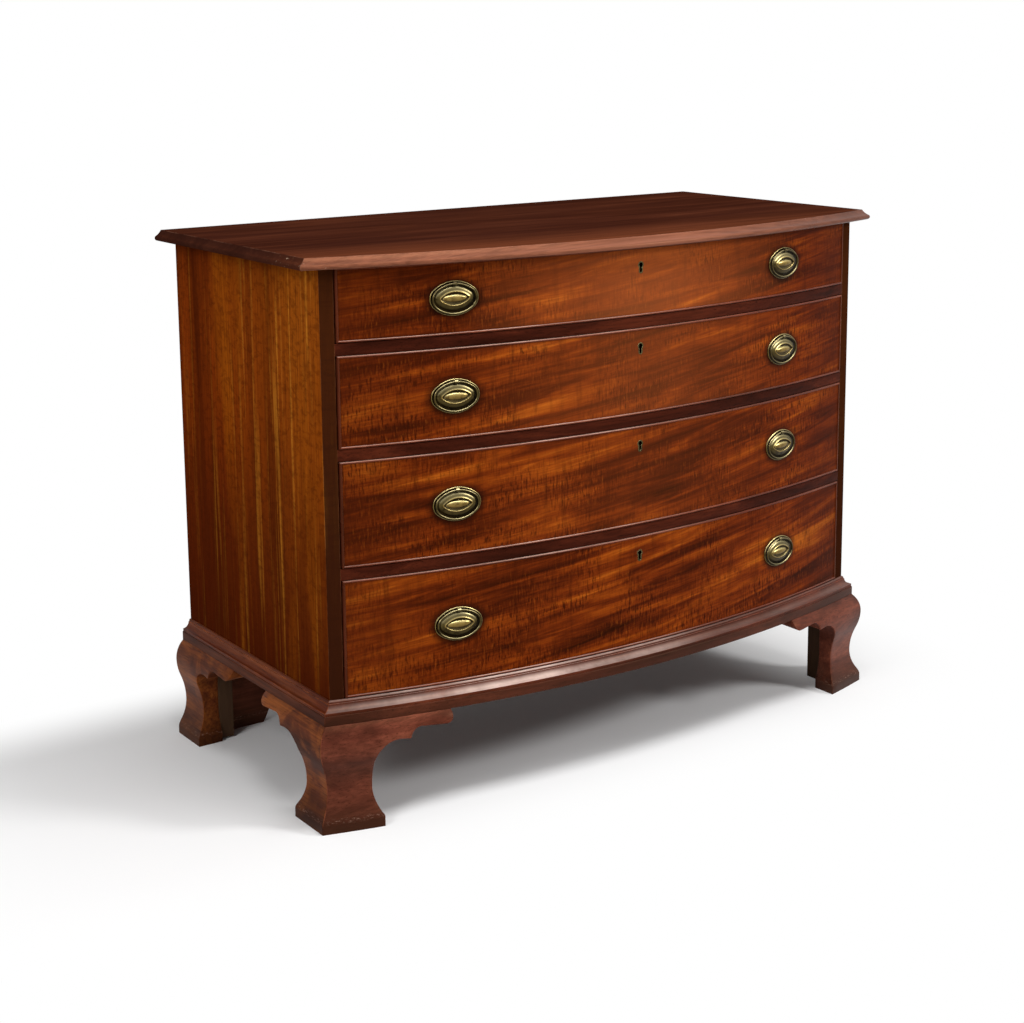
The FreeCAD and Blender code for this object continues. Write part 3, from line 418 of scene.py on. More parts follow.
def lit_ridge(tree, tone, share, glint):
    """A painted highlight: a broken line of light on what looks up, strongest left of the middle.
    """
    upper = stretch(tree, object_normal(tree)["Z"], 0.10, 0.75, 0.0, share)
    highlight_breaks = noise(tree, grain_space(tree, (4.0, 4.0, 4.0)), 6.0, 0.7)
    # Where the painted highlight breaks, and where along the front it is brightest.
    highlight_breaks = times(tree, stretch(tree, highlight_breaks, 0.36, 0.64, 0.25, 1.0),
                 off_centre(tree, -0.22, 0.05, 0.38, 0.12))
    return blend(tree, times(tree, upper, highlight_breaks), tone, glint)


# %% [markdown]
# One recipe serves every plain plank: only the colours and the direction of the grain change.
# The grain runs along the axis whose scale is smallest, because a small scale draws a pattern
# out. Fibres and pores are the same noise again, squeezed many times finer across the grain.

# %% Plain planks
LONG = (1.2, 14.0, 14.0)        # grain along X
DEEP = (14.0, 1.2, 14.0)        # grain along Y
TALL = (14.0, 14.0, 1.2)        # grain along Z


def plank(name, deep, middle, light, scale, mottle=0.0, dark_towards_floor=0.0, ridge=0.0,
          glint=srgb(206, 168, 152), **coats):
    """Mahogany whose grain runs along the axis with the smallest scale."""
    material, shader = new_finish(name)
    tree = material.node_tree
    along = min(scale)
    growth = noise(tree, grain_space(tree, [2.0 * s for s in scale]), 5.0, 0.60, 0.6)
    fibre_scale = [16.0 * s if s > along else 5.0 * s for s in scale]
    fibre = noise(tree, grain_space(tree, fibre_scale), 6.0, 0.65)
    pore_scale = [60.0 * s if s > along else 26.0 * s for s in scale]
    pores = noise(tree, grain_space(tree, pore_scale), 2.0)
    tone = colours(tree, growth, (0.30, deep), (0.50, middle), (0.70, light))
    if mottle:
        cloud = noise(tree, grain_space(tree, (16.0, 16.0, 24.0)), 5.0, 0.6, 0.8)
        tone = blend(tree, stretch(tree, cloud, 0.46, 0.64, 0.0, mottle), tone, light)
        tone = blend(tree, stretch(tree, cloud, 0.44, 0.30, 0.0, mottle), tone, deep)
    tone = blend(tree, stretch(tree, fibre, 0.60, 0.36, 0.0, 0.5), tone, deep)
    tone = blend(tree, stretch(tree, pores, 0.40, 0.30, 0.0, 0.8), tone, scaled(deep, 0.4))
    if dark_towards_floor:
        tone = darker_low_and_pale_ledge(tree, tone, dark_towards_floor)
    if ridge:
        tone = lit_ridge(tree, tone, ridge, glint)
    polish(tree, shader, tone, fibre, scaled(light, 2.4), **coats)
    print("finish:", name, len(tree.nodes), "nodes")
    return material


# %% [markdown]
# No two boards of a chest are quite one colour. The rails are painted darkest, partly for the shade
# in their recess, the beads and the base moulding carry a painted highlight, and the feet are
# mottled. Where one piece has lengths that run two ways, it needs two finishes, because the grain
# turns with the length.

# %% Choose the planks
# The rails' colours are painted dark, partly for the shade the beads cast into their recess.
rail_wood = plank("mahogany_rail", srgb(38, 13, 7), srgb(66, 26, 15), srgb(92, 40, 23), LONG,
                  level=0.03)
# ridge and glint paint a highlight along the upper side of beads and base moulding.
bead_wood = plank("mahogany_bead", srgb(66, 25, 13), srgb(96, 40, 24), srgb(128, 64, 42), LONG,
                  wear=0.5, ridge=0.95, level=0.2, shine=0.22, arris=0.0006)
bead_wood_upright = plank("mahogany_bead_upright", srgb(60, 24, 12), srgb(88, 38, 22),
                          srgb(118, 58, 38), TALL, wear=0.5, level=0.2, shine=0.22, arris=0.0006)
base_wood = plank("mahogany_base", srgb(48, 18, 11), srgb(78, 33, 20), srgb(108, 52, 34), LONG,
                  wear=0.5, ridge=0.9, glint=srgb(226, 200, 188), level=0.15, shine=0.26)
base_wood_deep = plank("mahogany_base_side", srgb(56, 21, 10), srgb(88, 36, 16),
                       srgb(124, 64, 32), DEEP, wear=0.9, level=0.05, shine=0.30)
foot_wood = plank("mahogany_foot", srgb(52, 22, 16), srgb(88, 42, 31), srgb(128, 68, 50), LONG,
                  mottle=0.4, dark_towards_floor=0.85, wear=0.45, level=0.22)
foot_wood_deep = plank("mahogany_foot_side", srgb(52, 23, 13), srgb(92, 44, 23),
                       srgb(146, 80, 34), DEEP, mottle=0.7, dark_towards_floor=0.75, wear=0.45, level=0.06)
frame_wood = plank("mahogany_frame", srgb(40, 18, 12), srgb(62, 29, 20), srgb(88, 44, 30), LONG,
                   wear=0.5, level=0.2)
frame_wood_deep = plank("mahogany_frame_side", srgb(44, 19, 10), srgb(72, 33, 18),
                        srgb(98, 50, 27), DEEP, wear=0.5, level=0.04)

# %% [markdown]
# The top is seen at a low angle, where any polish turns into a mirror of the room. Old tops are
# rubbed almost dull, so its flat face hardly reflects and only the moulded front edge shines.
# Along the front the colour is lighter, from wear where people lean and from a painted highlight
# strongest left of the middle: we measure that by the distance from the bow's centre. A few pale
# nicks show at the corner that furniture is pushed past.

# %% The top board's finish


def top_finish(name, pale_wear_and_light, level):
    """The flat face hardly reflects; the moulded front edge gets more shine, and paler wear and
    painted highlight.
    """
    material, shader = new_finish(name)
    tree = material.node_tree
    growth = noise(tree, grain_space(tree, (1.6, 20.0, 20.0)), 5.0, 0.6, 0.8)
    fibre = noise(tree, grain_space(tree, (7.0, 240.0, 240.0)), 6.0, 0.65)
    cloud = noise(tree, grain_space(tree, (3.0, 7.0, 7.0)), 4.0, 0.6, 1.0)
    tone = colours(tree, growth, (0.32, srgb(52, 23, 14)), (0.50, srgb(72, 35, 22)),
                   (0.68, srgb(92, 48, 31)))
    tone = blend(tree, stretch(tree, cloud, 0.40, 0.66, 0.0, 0.5), tone, srgb(62, 30, 21))
    from_centre = node(tree, "ShaderNodeMapping",
                       [("Vector", node(tree, "ShaderNodeTexCoord").outputs["Object"]),
                        ("Location", (0.0, -BOW_CENTRE.y, 0.0)), ("Scale", (1.0, 1.0, 0.0))])
    reach = vector_sums(tree, "LENGTH", from_centre.outputs[0])["Value"]
    # Painted light: the paler front and its pale arrises are strongest left of the middle.
    lit = off_centre(tree, -0.15, 0.25, 0.62, 0.25)
    front_wear_and_light = stretch(tree, reach, BOW_RADIUS - 0.13, BOW_RADIUS + 0.01, 0.0, 0.75)
    tone = blend(tree, times(tree, front_wear_and_light, lit), tone, pale_wear_and_light)
    tone = blend(tree, stretch(tree, fibre, 0.60, 0.36, 0.0, 0.45), tone, srgb(44, 19, 13))
    ends = sums(tree, "ABSOLUTE", object_normal(tree)["X"])
    tone = blend(tree, stretch(tree, ends, 0.30, 0.70, 0.0, 0.6), tone, srgb(46, 24, 18))
    knock = noise(tree, grain_space(tree, (260.0, 260.0, 260.0)), 4.0, 0.7)
    flat = sums(tree, "ABSOLUTE", object_normal(tree)["Z"])
    corner = times(tree, off_centre(tree, -0.545, 0.015, 0.07, 0.0),
                   stretch(tree, place_on_piece(tree)["Y"], -0.08, -0.15))
    nicked = times(tree, stretch(tree, flat, 0.97, 0.90), corner)
    nicked = times(tree, nicked, stretch(tree, knock, 0.66, 0.70))
    tone = blend(tree, nicked, tone, srgb(214, 186, 156))
    polish(tree, shader, tone, fibre, srgb(190, 138, 112), shine=0.24, level=level,
           wear=times(tree, lit, 0.8))
    print("finish:", name, len(tree.nodes), "nodes")
    return material


# The front edge's paler colour stands for wear and a painted highlight.
top_wood = top_finish("mahogany_top", srgb(116, 62, 38), 0.0)
top_edge_wood = top_finish("mahogany_top_edge", srgb(150, 92, 68), 0.22)

# %% [markdown]
# The side board is straight-grained, and the window light is painted into it: lighter and golden
# above and in front, darker red below and behind, with a painted shadow just under the top. A
# scale of 0 along X makes every pattern run straight through the board, and a small scale along
# Z draws it out into upright streaks.

# %% The side board's finish


def side_finish():
    """Upright streaks of gold and red, painted lighter up and forward, with a darker front edge."""
    material, shader = new_finish("mahogany_side")
    tree = material.node_tree
    height = stretch(tree, place_on_piece(tree)["Z"], 0.18, 0.82)
    bands = noise(tree, grain_space(tree, (0.0, 13.0, 0.8)), 4.0, 0.55, 0.6)
    streaks = noise(tree, grain_space(tree, (0.0, 70.0, 1.6)), 5.0, 0.6, 0.4)
    fibre = noise(tree, grain_space(tree, (0.0, 330.0, 7.0)), 5.0, 0.65)
    cloud = noise(tree, grain_space(tree, (0.0, 9.0, 4.0)), 4.0, 0.6, 1.0)
    ripple = noise(tree, grain_space(tree, (0.0, 60.0, 90.0)), 7.0, 0.70, 0.6)
    # Painted light and shade by height: dark below, lightest high up, darker under the top's
    # overhang.
    tone = colours(tree, height, (0.0, srgb(68, 22, 6)), (0.35, srgb(94, 34, 7)),
                   (0.62, srgb(122, 48, 9)), (0.88, srgb(130, 54, 11)), (1.0, srgb(98, 38, 9)))
    # Painted light: lighter and more golden towards the front and up.
    forward = times(tree, stretch(tree, place_on_piece(tree)["Y"], 0.12, -0.12, 0.0, 0.55), height)
    tone = blend(tree, forward, tone, srgb(160, 88, 20))
    tone = blend(tree, stretch(tree, bands, 0.50, 0.32, 0.0, 0.8), tone, srgb(60, 19, 5))
    tone = blend(tree, stretch(tree, bands, 0.54, 0.74, 0.0, 0.55), tone, srgb(170, 92, 16))
    golden = times(tree, stretch(tree, streaks, 0.55, 0.72, 0.0, 0.8),
                   stretch(tree, forward, 0.0, 0.40, 0.25, 1.0))
    tone = blend(tree, golden, tone, srgb(226, 148, 46))
    tone = blend(tree, stretch(tree, ripple, 0.52, 0.38, 0.0, 0.45), tone, srgb(66, 22, 5))
    tone = blend(tree, stretch(tree, cloud, 0.50, 0.72, 0.0, 0.55), tone, srgb(84, 32, 7))
    tone = blend(tree, stretch(tree, fibre, 0.58, 0.34, 0.0, 0.5), tone, srgb(60, 22, 6))
    edge_on = stretch(tree, object_normal(tree)["Y"], -0.4, -0.8, 0.0, 0.92)
    tone = blend(tree, edge_on, tone, srgb(44, 20, 10))
    polish(tree, shader, tone, fibre, srgb(150, 92, 60), shine=0.42, level=0.0, wear=0.5)
    print("finish:", material.name, len(tree.nodes), "nodes")
    return material


end_wood = side_finish()

# %% [markdown]
# The drawer veneer is *figured*. Its dark streaks sweep upward, and where the fibres lean to and
# fro, short upright flecks cross them in patches. A painted highlight lightens the middle of the
# upper drawers, painted shade darkens each front's ends, and the dark ring round each brass plate
# is grime and painted shadow.

# %% The drawer veneer's finish
PULL_X = 0.317                    # from the middle of a drawer to the middle of a pull
PLATE_HALF = (0.038, 0.0255)      # half the length and height of a pull's plate
SWEEP = (0.0, math.radians(7.0), 0.0)
FIBRE_SWEEP = (0.0, math.radians(4.0), 0.0)


def round_the_plates(tree, pull_z):
    """Distance from the nearer pull, in plates: 1 is the plate's own outline."""
    place = node(tree, "ShaderNodeTexCoord").outputs["Object"]
    oval = node(tree, "ShaderNodeMapping",
                [("Vector", vector_sums(tree, "ABSOLUTE", place)[0]),
                 ("Location", (-PULL_X / PLATE_HALF[0], 0.0, -pull_z / PLATE_HALF[1])),
                 ("Scale", (1 / PLATE_HALF[0], 0.0, 1 / PLATE_HALF[1]))])
    return vector_sums(tree, "LENGTH", oval.outputs[0])["Value"]


def veneer_finish(number, pull_z, sheen_share):
    """Figured veneer of one drawer, with a painted highlight of this share in its middle."""
    material, shader = new_finish("mahogany_figured_%d" % number)
    tree = material.node_tree
    broad = noise(tree, grain_space(tree, (3.4, 0.0, 11.0), SWEEP), 3.0, 0.5, 0.8)
    streaks = noise(tree, grain_space(tree, (3.6, 0.0, 52.0), SWEEP), 8.0, 0.66, 0.5)
    fibre = noise(tree, grain_space(tree, (12.0, 0.0, 380.0), FIBRE_SWEEP), 5.0, 0.65)
    flecks = noise(tree, grain_space(tree, (330.0, 0.0, 66.0)), 3.0, 0.6)
    patches = noise(tree, grain_space(tree, (7.0, 0.0, 15.0), SWEEP), 3.0, 0.55, 0.6)
    bars = noise(tree, grain_space(tree, (60.0, 0.0, 9.0)), 3.0, 0.6, 0.4)
    figure = sums(tree, "MULTIPLY_ADD", broad, 0.65, streaks)
    tone = colours(tree, stretch(tree, figure, 0.60, 1.05), (0.0, srgb(38, 12, 3)),
                   (0.28, srgb(74, 25, 6)), (0.54, srgb(110, 42, 9)), (0.80, srgb(142, 63, 13)),
                   (1.0, srgb(176, 90, 22)))
    tone = blend(tree, stretch(tree, bars, 0.50, 0.34, 0.0, 0.40), tone, srgb(60, 20, 5))
    patchy = stretch(tree, patches, 0.42, 0.60, 0.15, 1.0)
    pale_flecks = times(tree, stretch(tree, flecks, 0.56, 0.74, 0.0, 0.45), patchy)
    tone = blend(tree, pale_flecks, tone, srgb(176, 88, 24))
    dark_flecks = times(tree, stretch(tree, flecks, 0.49, 0.38, 0.0, 0.85), patchy)
    tone = blend(tree, dark_flecks, tone, srgb(40, 12, 3))
    tone = blend(tree, stretch(tree, fibre, 0.58, 0.36, 0.0, 0.35), tone, srgb(64, 22, 8))
    # Painted shade: both ends of the front are darkened, where the bow turns away from the light.
    ends = times(tree, off_centre(tree, 0.0, 0.49, 0.34, 0.0), 0.45)
    tone = blend(tree, ends, tone, srgb(66, 24, 8))
    # Painted highlight: the middle of the front is lightened, most on the upper drawers.
    painted_sheen = times(tree, off_centre(tree, 0.02, 0.04, 0.34, 0.0), sheen_share)
    tone = blend(tree, painted_sheen, tone, srgb(190, 104, 56))
    # A dark ring round each plate: grime, and the plate's painted shadow.
    grime_and_shadow = stretch(tree, round_the_plates(tree, pull_z), 1.32, 0.98, 0.0, 0.8)
    tone = blend(tree, grime_and_shadow, tone, srgb(30, 12, 6))
    polish(tree, shader, tone, fibre, srgb(196, 130, 84), shine=0.30, level=0.02, wear=0.2)
    print("finish:", material.name, len(tree.nodes), "nodes")
    return material


# %% [markdown]
# ## Pine, brass and iron
# Inside and behind, old makers used cheap pine, left bare and gone brown. The back shows as four
# even strips: dividing the height by a strip's width and dropping the fraction gives each board a
# number, and so a tone of its own, and the fraction itself marks the joints.

# %% Bare pine
BACK_LOW, BACK_BOARD = 0.172, 0.160375      # lowest edge of the back, and the width of a board


def board_by_board(tree, tone):
    """A tone for each of the back's boards, and a dark joint between them."""
    height = sums(tree, "ADD", place_on_piece(tree)["Z"], -BACK_LOW)
    row = sums(tree, "DIVIDE", height, BACK_BOARD)
    own = node(tree, "ShaderNodeTexWhiteNoise", [("W", sums(tree, "FLOOR", row))],
               noise_dimensions="1D").outputs["Value"]
    tone = blend(tree, stretch(tree, own, 0.0, 1.0, 0.0, 0.45), tone, srgb(98, 66, 40))
    middle = sums(tree, "SUBTRACT", sums(tree, "FRACT", row), 0.5)
    joint = stretch(tree, sums(tree, "ABSOLUTE", middle), 0.488, 0.496, 0.0, 0.9)
    return blend(tree, joint, tone, srgb(24, 14, 9))


def pine(name, scale, painted_shade=0.0, boards=False):
    """Bare softwood; the darkening share paints shade on pieces that sit in it, and boards divides
    it into the boards of the back.
    """
    material, shader = new_finish(name)
    tree = material.node_tree
    rings = noise(tree, grain_space(tree, [1.6 * s for s in scale]), 3.0, 0.5, 0.8)
    fibre = noise(tree, grain_space(tree, [12.0 * s for s in scale]), 5.0, 0.6)
    tone = colours(tree, rings, (0.36, srgb(142, 106, 68)), (0.52, srgb(160, 122, 80)),
                   (0.66, srgb(132, 94, 58)))
    tone = blend(tree, stretch(tree, fibre, 0.60, 0.38, 0.0, 0.45), tone, srgb(108, 74, 44))
    grime = noise(tree, grain_space(tree, (5.0, 5.0, 5.0)), 5.0, 0.6)
    tone = blend(tree, stretch(tree, grime, 0.40, 0.70, 0.0, 0.6), tone, srgb(88, 62, 40))
    # Painted shade, for pieces that sit in shadow.
    tone = blend(tree, painted_shade, tone, srgb(46, 27, 18))
    if boards:
        tone = board_by_board(tree, tone)
    tree.links.new(tone, shader.inputs["Base Color"])
    tree.links.new(stretch(tree, fibre, 0.3, 0.7, 0.72, 0.88), shader.inputs["Roughness"])
    bump = node(tree, "ShaderNodeBump", [("Strength", 0.25), ("Distance", 0.0005),
                                         ("Height", fibre)])
    tree.links.new(bump.outputs[0], shader.inputs["Normal"])
    shader.inputs["Specular IOR Level"].default_value = 0.15
    print("finish:", name)
    return material


pine_long = pine("pine_long", (1.2, 16.0, 16.0))
pine_back = pine("pine_back", (1.2, 16.0, 16.0), boards=True)
pine_deep = pine("pine_deep", (16.0, 1.2, 16.0))
# The glue blocks sit in shade inside the feet, so they are painted dark.
block_wood = pine("block_pine", (16.0, 16.0, 1.2), painted_shade=0.88)

# %% [markdown]
# The pulls are thin brass: olive and dark where grime settles, with pale metal on every ridge that
# a cloth can reach, which also serves as a painted highlight. What looks up gets a painted
# highlight and what looks down painted shade, so we colour by the way a face looks. One brass
# wouldn't do: a well is painted darker, for its shade, and a lip brighter, for wear and a painted
# highlight.

# %% Brass and iron


def old_metal(name, bright, dull, tarnish, rough, light_and_shade=0.0):
    """Metal with rubbed ridges that also serve as a painted highlight; what looks up is painted
    lighter and what looks down darker.
    """
    material, shader = new_finish(name)
    tree = material.node_tree
    spots = noise(tree, grain_space(tree, (120.0, 120.0, 120.0)), 6.0, 0.65)
    fine = noise(tree, grain_space(tree, (900.0, 900.0, 900.0)), 3.0, 0.6)
    tone = colours(tree, spots, (0.32, tarnish), (0.52, dull))
    # Painted light and shade: faces that look up are lighter, faces that look down darker.
    upward = object_normal(tree)["Z"]
    tone = blend(tree, stretch(tree, upward, 0.05, -0.55, 0.0, light_and_shade), tone, tarnish)
    tone = blend(tree, stretch(tree, upward, 0.15, 0.75, 0.0, light_and_shade), tone, bright)
    # Ridges: pale from rubbing, and a painted highlight.
    edge, rounded = near_arris(tree, 0.0006)
    tone = blend(tree, stretch(tree, edge, 0.0, 1.0, 0.0, 0.75), tone, bright)
    tree.links.new(tone, shader.inputs["Base Color"])
    dullness = stretch(tree, spots, 0.30, 0.70, rough + 0.12, rough)
    tree.links.new(dullness, shader.inputs["Roughness"])
    bump = node(tree, "ShaderNodeBump", [("Strength", 0.15), ("Distance", 0.0002),
                                         ("Height", fine), ("Normal", rounded)])
    tree.links.new(bump.outputs[0], shader.inputs["Normal"])
    shader.inputs["Metallic"].default_value = 1.0
    print("finish:", name)
    return material


brass = old_metal("old_brass", srgb(172, 160, 118), srgb(84, 72, 40), srgb(34, 26, 13), 0.26,
                  light_and_shade=0.9)
brass_dark = old_metal("brass_in_shade", srgb(92, 82, 54), srgb(48, 38, 20), srgb(24, 17, 9), 0.42,
                       light_and_shade=0.5)
# Lips and boss: rubbed brass, lightened further as a painted highlight.
brass_bright = old_metal("brass_rubbed_and_lit", srgb(206, 190, 132), srgb(140, 116, 62), srgb(68, 50, 24),
                         0.24, light_and_shade=0.8)
iron = old_metal("lock_iron", srgb(112, 104, 96), srgb(80, 72, 64), srgb(56, 42, 34), 0.45)

# %% [markdown]
# ## Tools for drawing
# Most pieces start as a profile: a line drawn with straight moves and arcs, like a moulding cut
# across. `draw` moves one vertex along; an arc is that vertex *spun* about a centre. Profiles are
# drawn in the plane x = 0 with "outward" towards the viewer (−Y), then carried to their place.

# %% Turn, shift and draw
ORIGIN = (0.0, 0.0, 0.0)


def vertices(parts):
    """Only the vertices among the parts that an operator hands back."""
    return [part for part in parts if isinstance(part, bmesh.types.BMVert)]


def turn(bm, angle, axis):
    """Turn everything about an axis through the origin."""
    bmesh.ops.rotate(bm, verts=bm.verts, cent=ORIGIN, matrix=Matrix.Rotation(angle, 3, axis))


def shift(bm, x, y, z):
    bmesh.ops.translate(bm, verts=bm.verts, vec=(x, y, z))


def draw(bm, start, *moves):
    """Draw a closed profile from (outward, up) points.

    A move is a point, or (centre, degrees, steps) for an arc.
    """
    first = pen = bm.verts.new((0.0, -start[0], start[1]))
    for move in moves:
        if isinstance(move[0], tuple):
            (out, up), degrees, steps = move
            arc = bmesh.ops.spin(bm, geom=[pen], cent=(0.0, -out, up), axis=(-1.0, 0.0, 0.0),
                                 angle=math.radians(degrees), steps=steps, use_duplicate=False)
            pen = vertices(arc["geom_last"])[0]
        else:
            pen = bmesh.ops.extrude_vert_indiv(bm, verts=[pen])["verts"][0]
            pen.co = (0.0, -move[0], move[1])
    if (pen.co - first.co).length < 2e-5:
        bmesh.ops.weld_verts(bm, targetmap={pen: first})
    else:
        bm.edges.new((pen, first))
    return bm


# %% [markdown]
# A joiner's saw and plane come next. `saw` cuts with a plane and fills the cut, so the piece
# stays closed. `ease` takes the sharpness off an arris, and `thicken` gives a flat face a second
# skin, which the caller then moves to where the wall ends.

# %% Saw, ease and thicken


def whole(bm):
    return bm.verts[:] + bm.edges[:] + bm.faces[:]


def saw(bm, point, direction):
    """Cut off everything that lies on the side the direction points to, and close the cut."""
    cut = bmesh.ops.bisect_plane(bm, geom=whole(bm), dist=1e-7, plane_co=point,
                                 plane_no=direction, clear_outer=True)
    rim = [part for part in cut["geom_cut"] if isinstance(part, bmesh.types.BMEdge)]
    if rim:
        bmesh.ops.edgeloop_fill(bm, edges=rim)
    return bm


def saw_back(bm):
    """Cut a length off flush with the back of the case."""
    return saw(bm, (0.0, BACK_Y, 0.0), (0.0, 1.0, 0.0))


def ease(bm, edges, width, segments, **settings):
    """Round some edges over."""
    bmesh.ops.bevel(bm, geom=edges, offset=width, segments=segments, profile=0.5, affect="EDGES",
                    material=-1, **settings)


def thicken(bm):
    """Give a flat face a second skin; returns the vertices of the outer one."""
    return vertices(bmesh.ops.extrude_face_region(bm, geom=bm.faces[:])["geom"])


# %% [markdown]
# Mouldings run two ways: round the bow, as a spin about its centre, and straight back along a
# side, as an extrusion. Where they meet at a front corner, each is sawn along the plane that
# halves the corner, the mitre. Both are made too long first, so that the saw leaves a clean end.

# %% Carry a profile round the front


def round_the_bow(bm, steps=56):
    """Carry a profile, drawn at x = 0, along the bow and past both corners."""
    half_turn = math.asin((CASE_HALF + 0.06) / BOW_RADIUS)
    shift(bm, 0.0, BOW_FRONT, 0.0)
    bmesh.ops.rotate(bm, verts=bm.verts, cent=BOW_CENTRE,
                     matrix=Matrix.Rotation(-half_turn, 3, "Z"))
    bmesh.ops.spin(bm, geom=bm.verts[:] + bm.edges[:], cent=BOW_CENTRE, axis=(0.0, 0.0, 1.0),
                   angle=2 * half_turn, steps=steps, use_duplicate=False)
    return bm


def draw_out(bm, x, y, z):
    """Draw a profile out into a length."""
    run = bmesh.ops.extrude_edge_only(bm, edges=bm.edges[:])
    bmesh.ops.translate(bm, verts=vertices(run["geom"]), vec=(x, y, z))
    return bm


def along_side(bm, side, start, end):
    """Carry a profile along the left (-1) or right (+1) side of the case, from one y to another."""
    turn(bm, side * math.pi / 2, "Z")
    shift(bm, side * CASE_HALF, start, 0.0)
    return draw_out(bm, 0.0, end - start, 0.0)


def halving(side, tip, root):
    """The upright plane through tip and root: a point in it, and its direction to the side."""
    line = tip - root
    return root, Vector((-line.y * side, line.x * side, 0.0)).normalized()


def mitre(side, outer, inner=0.0):
    """The plane that halves a front corner between two offsets."""
    tip, root = (Vector((side * (CASE_HALF + off), bow_y(CASE_HALF + off, off), 0.0))
                 for off in (outer, inner))
    return halving(side, tip, root)


# %% [markdown]
# Every finished piece goes through the same hands. Its parts are joined, their faces are turned
# outwards, and edges sharper than a crease angle stay sharp while the rest shade smooth. Then it
# is told which body it rides on and which plain solid it stands in for.

# %% Make a piece


def make_piece(name, parts, finishes, body, replaces=(), crease=32.0):
    """Join finished parts into one object, smooth it up to its creases, and set it on its body."""
    mesh = bpy.data.meshes.new(name)
    joined = bmesh.new()
    for part in parts:
        bmesh.ops.remove_doubles(part, verts=part.verts, dist=1e-6)
        bmesh.ops.recalc_face_normals(part, faces=part.faces)
        part.to_mesh(mesh)
        joined.from_mesh(mesh)
        part.free()
    for face in joined.faces:
        face.smooth = True
    joined.to_mesh(mesh)
    open_edges = sum(not edge.is_manifold for edge in joined.edges)
    joined.free()
    mesh.set_sharp_from_angle(angle=math.radians(crease))
    thing = bpy.data.objects.new(name, mesh)
    bpy.context.scene.collection.objects.link(thing)
    for finish in finishes if isinstance(finishes, list) else [finishes]:
        mesh.materials.append(finish)
    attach(thing, body)
    if replaces:
        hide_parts(*replaces)
    print(name, len(mesh.polygons), "faces", "OPEN EDGES %d" % open_edges if open_edges else "")


# %% [markdown]
# ## The top board
# The top overhangs on three sides. Its edge has a half-round nose below and a shallow hollow
# above it, run with two moulding planes. We draw the plan once at the nose's widest line, then
# *inset* the face again and again, each time a little in and a little up or down: every inset is
# one facet of the moulding, and the corners mitre themselves.

# %% Plan of a bowed board


def turned_to(bm, direction):
    """Make a single flat face look the way of the direction."""
    bm.normal_update()
    for face in bm.faces:
        if face.normal.dot(Vector(direction)) < 0:
            face.normal_flip()
    return bm


def bowed_plan(half_width, offset, rear_y, z, steps=48):
    """A flat face with a bowed front edge, straight sides and a straight back."""
    bm = bmesh.new()
    corner = bm.verts.new((-half_width, bow_y(half_width, offset), z))
    half_turn = math.asin(half_width / (BOW_RADIUS + offset))
    arc = bmesh.ops.spin(bm, geom=[corner], cent=BOW_CENTRE, axis=(0.0, 0.0, 1.0),
                         angle=2 * half_turn, steps=steps, use_duplicate=False)
    pen = vertices(arc["geom_last"])[0]
    for x in (half_width, -half_width):
        pen = bmesh.ops.extrude_vert_indiv(bm, verts=[pen])["verts"][0]
        pen.co = (x, rear_y, z)
    bm.edges.new((pen, corner))
    bmesh.ops.contextual_create(bm, geom=bm.edges[:])
    return turned_to(bm, (0.0, 0.0, 1.0))


def stamp(bm, stages):
    """Inset the only face step by step; a stage is (total inset, total rise, which finish)."""
    bm.faces.ensure_lookup_table()
    face = bm.faces[0]
    was_in, was_up = 0.0, 0.0
    for inset, rise, *finish in stages:
        border = bmesh.ops.inset_region(bm, faces=[face], thickness=inset - was_in,
                                        depth=rise - was_up, use_even_offset=True,
                                        use_boundary=True)
        for strip in border["faces"] + [face]:
            strip.material_index = finish[0] if finish else 0
        was_in, was_up = inset, rise
    return bm


# %% [markdown]
# When a drawer is locked, its iron bolt shoots up into a slot in the board above. We cut four
# lines round the slot into the flat underside, which leaves a small face of its own in the
# middle, and push that face up. The slot is out of sight until the drawer is pulled out.

# %% Pocket for a lock bolt
BOLT_HALF, BOLT_THICK_HALF, BOLT_DEPTH = 0.0146, 0.0026, 0.0074
BOLT_Y = BOW_FRONT + 0.015


def bolt_pocket(bm, z):
    """Sink a slot for a shot bolt into the flat underside that lies at z."""
    for x, y, direction in ((BOLT_HALF, 0, (1, 0, 0)), (-BOLT_HALF, 0, (1, 0, 0)),
                            (0, BOLT_Y - BOLT_THICK_HALF, (0, 1, 0)),
                            (0, BOLT_Y + BOLT_THICK_HALF, (0, 1, 0))):
        under = [face for face in bm.faces if all(abs(v.co.z - z) < 1e-6 for v in face.verts)]
        edges = {edge for face in under for edge in face.edges}
        corners = {v for face in under for v in face.verts}
        bmesh.ops.bisect_plane(bm, geom=under + list(edges) + list(corners),
                               plane_co=(x, y, z), plane_no=direction)
    middle = Vector((0.0, BOLT_Y, z))
    mouth = [face for face in bm.faces if (face.calc_center_median() - middle).length < 1e-4]
    sunk = bmesh.ops.extrude_face_region(bm, geom=mouth + list(mouth[0].edges))
    bmesh.ops.translate(bm, verts=vertices(sunk["geom"]), vec=(0.0, 0.0, BOLT_DEPTH))
    print("bolt pocket at %.0f mm:" % (1000 * z), len(mouth), "mouth")
    return bm


# %% [markdown]
# Now the top's own edge. From its widest line the nose runs a quarter circle down, and half as
# far up, where the hollow begins as a slope that sags by under a millimetre. Both halves are
# stamped from one plan and joined, and the faces that look forward get the shinier finish.

# %% Mould the top's edge
TOP_HALF, TOP_OFFSET = 0.5446, 0.0221     # a hair inside the facets of the joinery
CASE_TOP, TOP_Z = 0.8135, 0.830
NOSE = 0.0042                             # radius of the half-round nose
FLAT_IN, SAG = 0.0108, 0.0010             # where the flat face begins, and the hollow's depth
NOSE_Z = CASE_TOP + NOSE
SPARE = 0.04                              # extra length behind, sawn off at the end


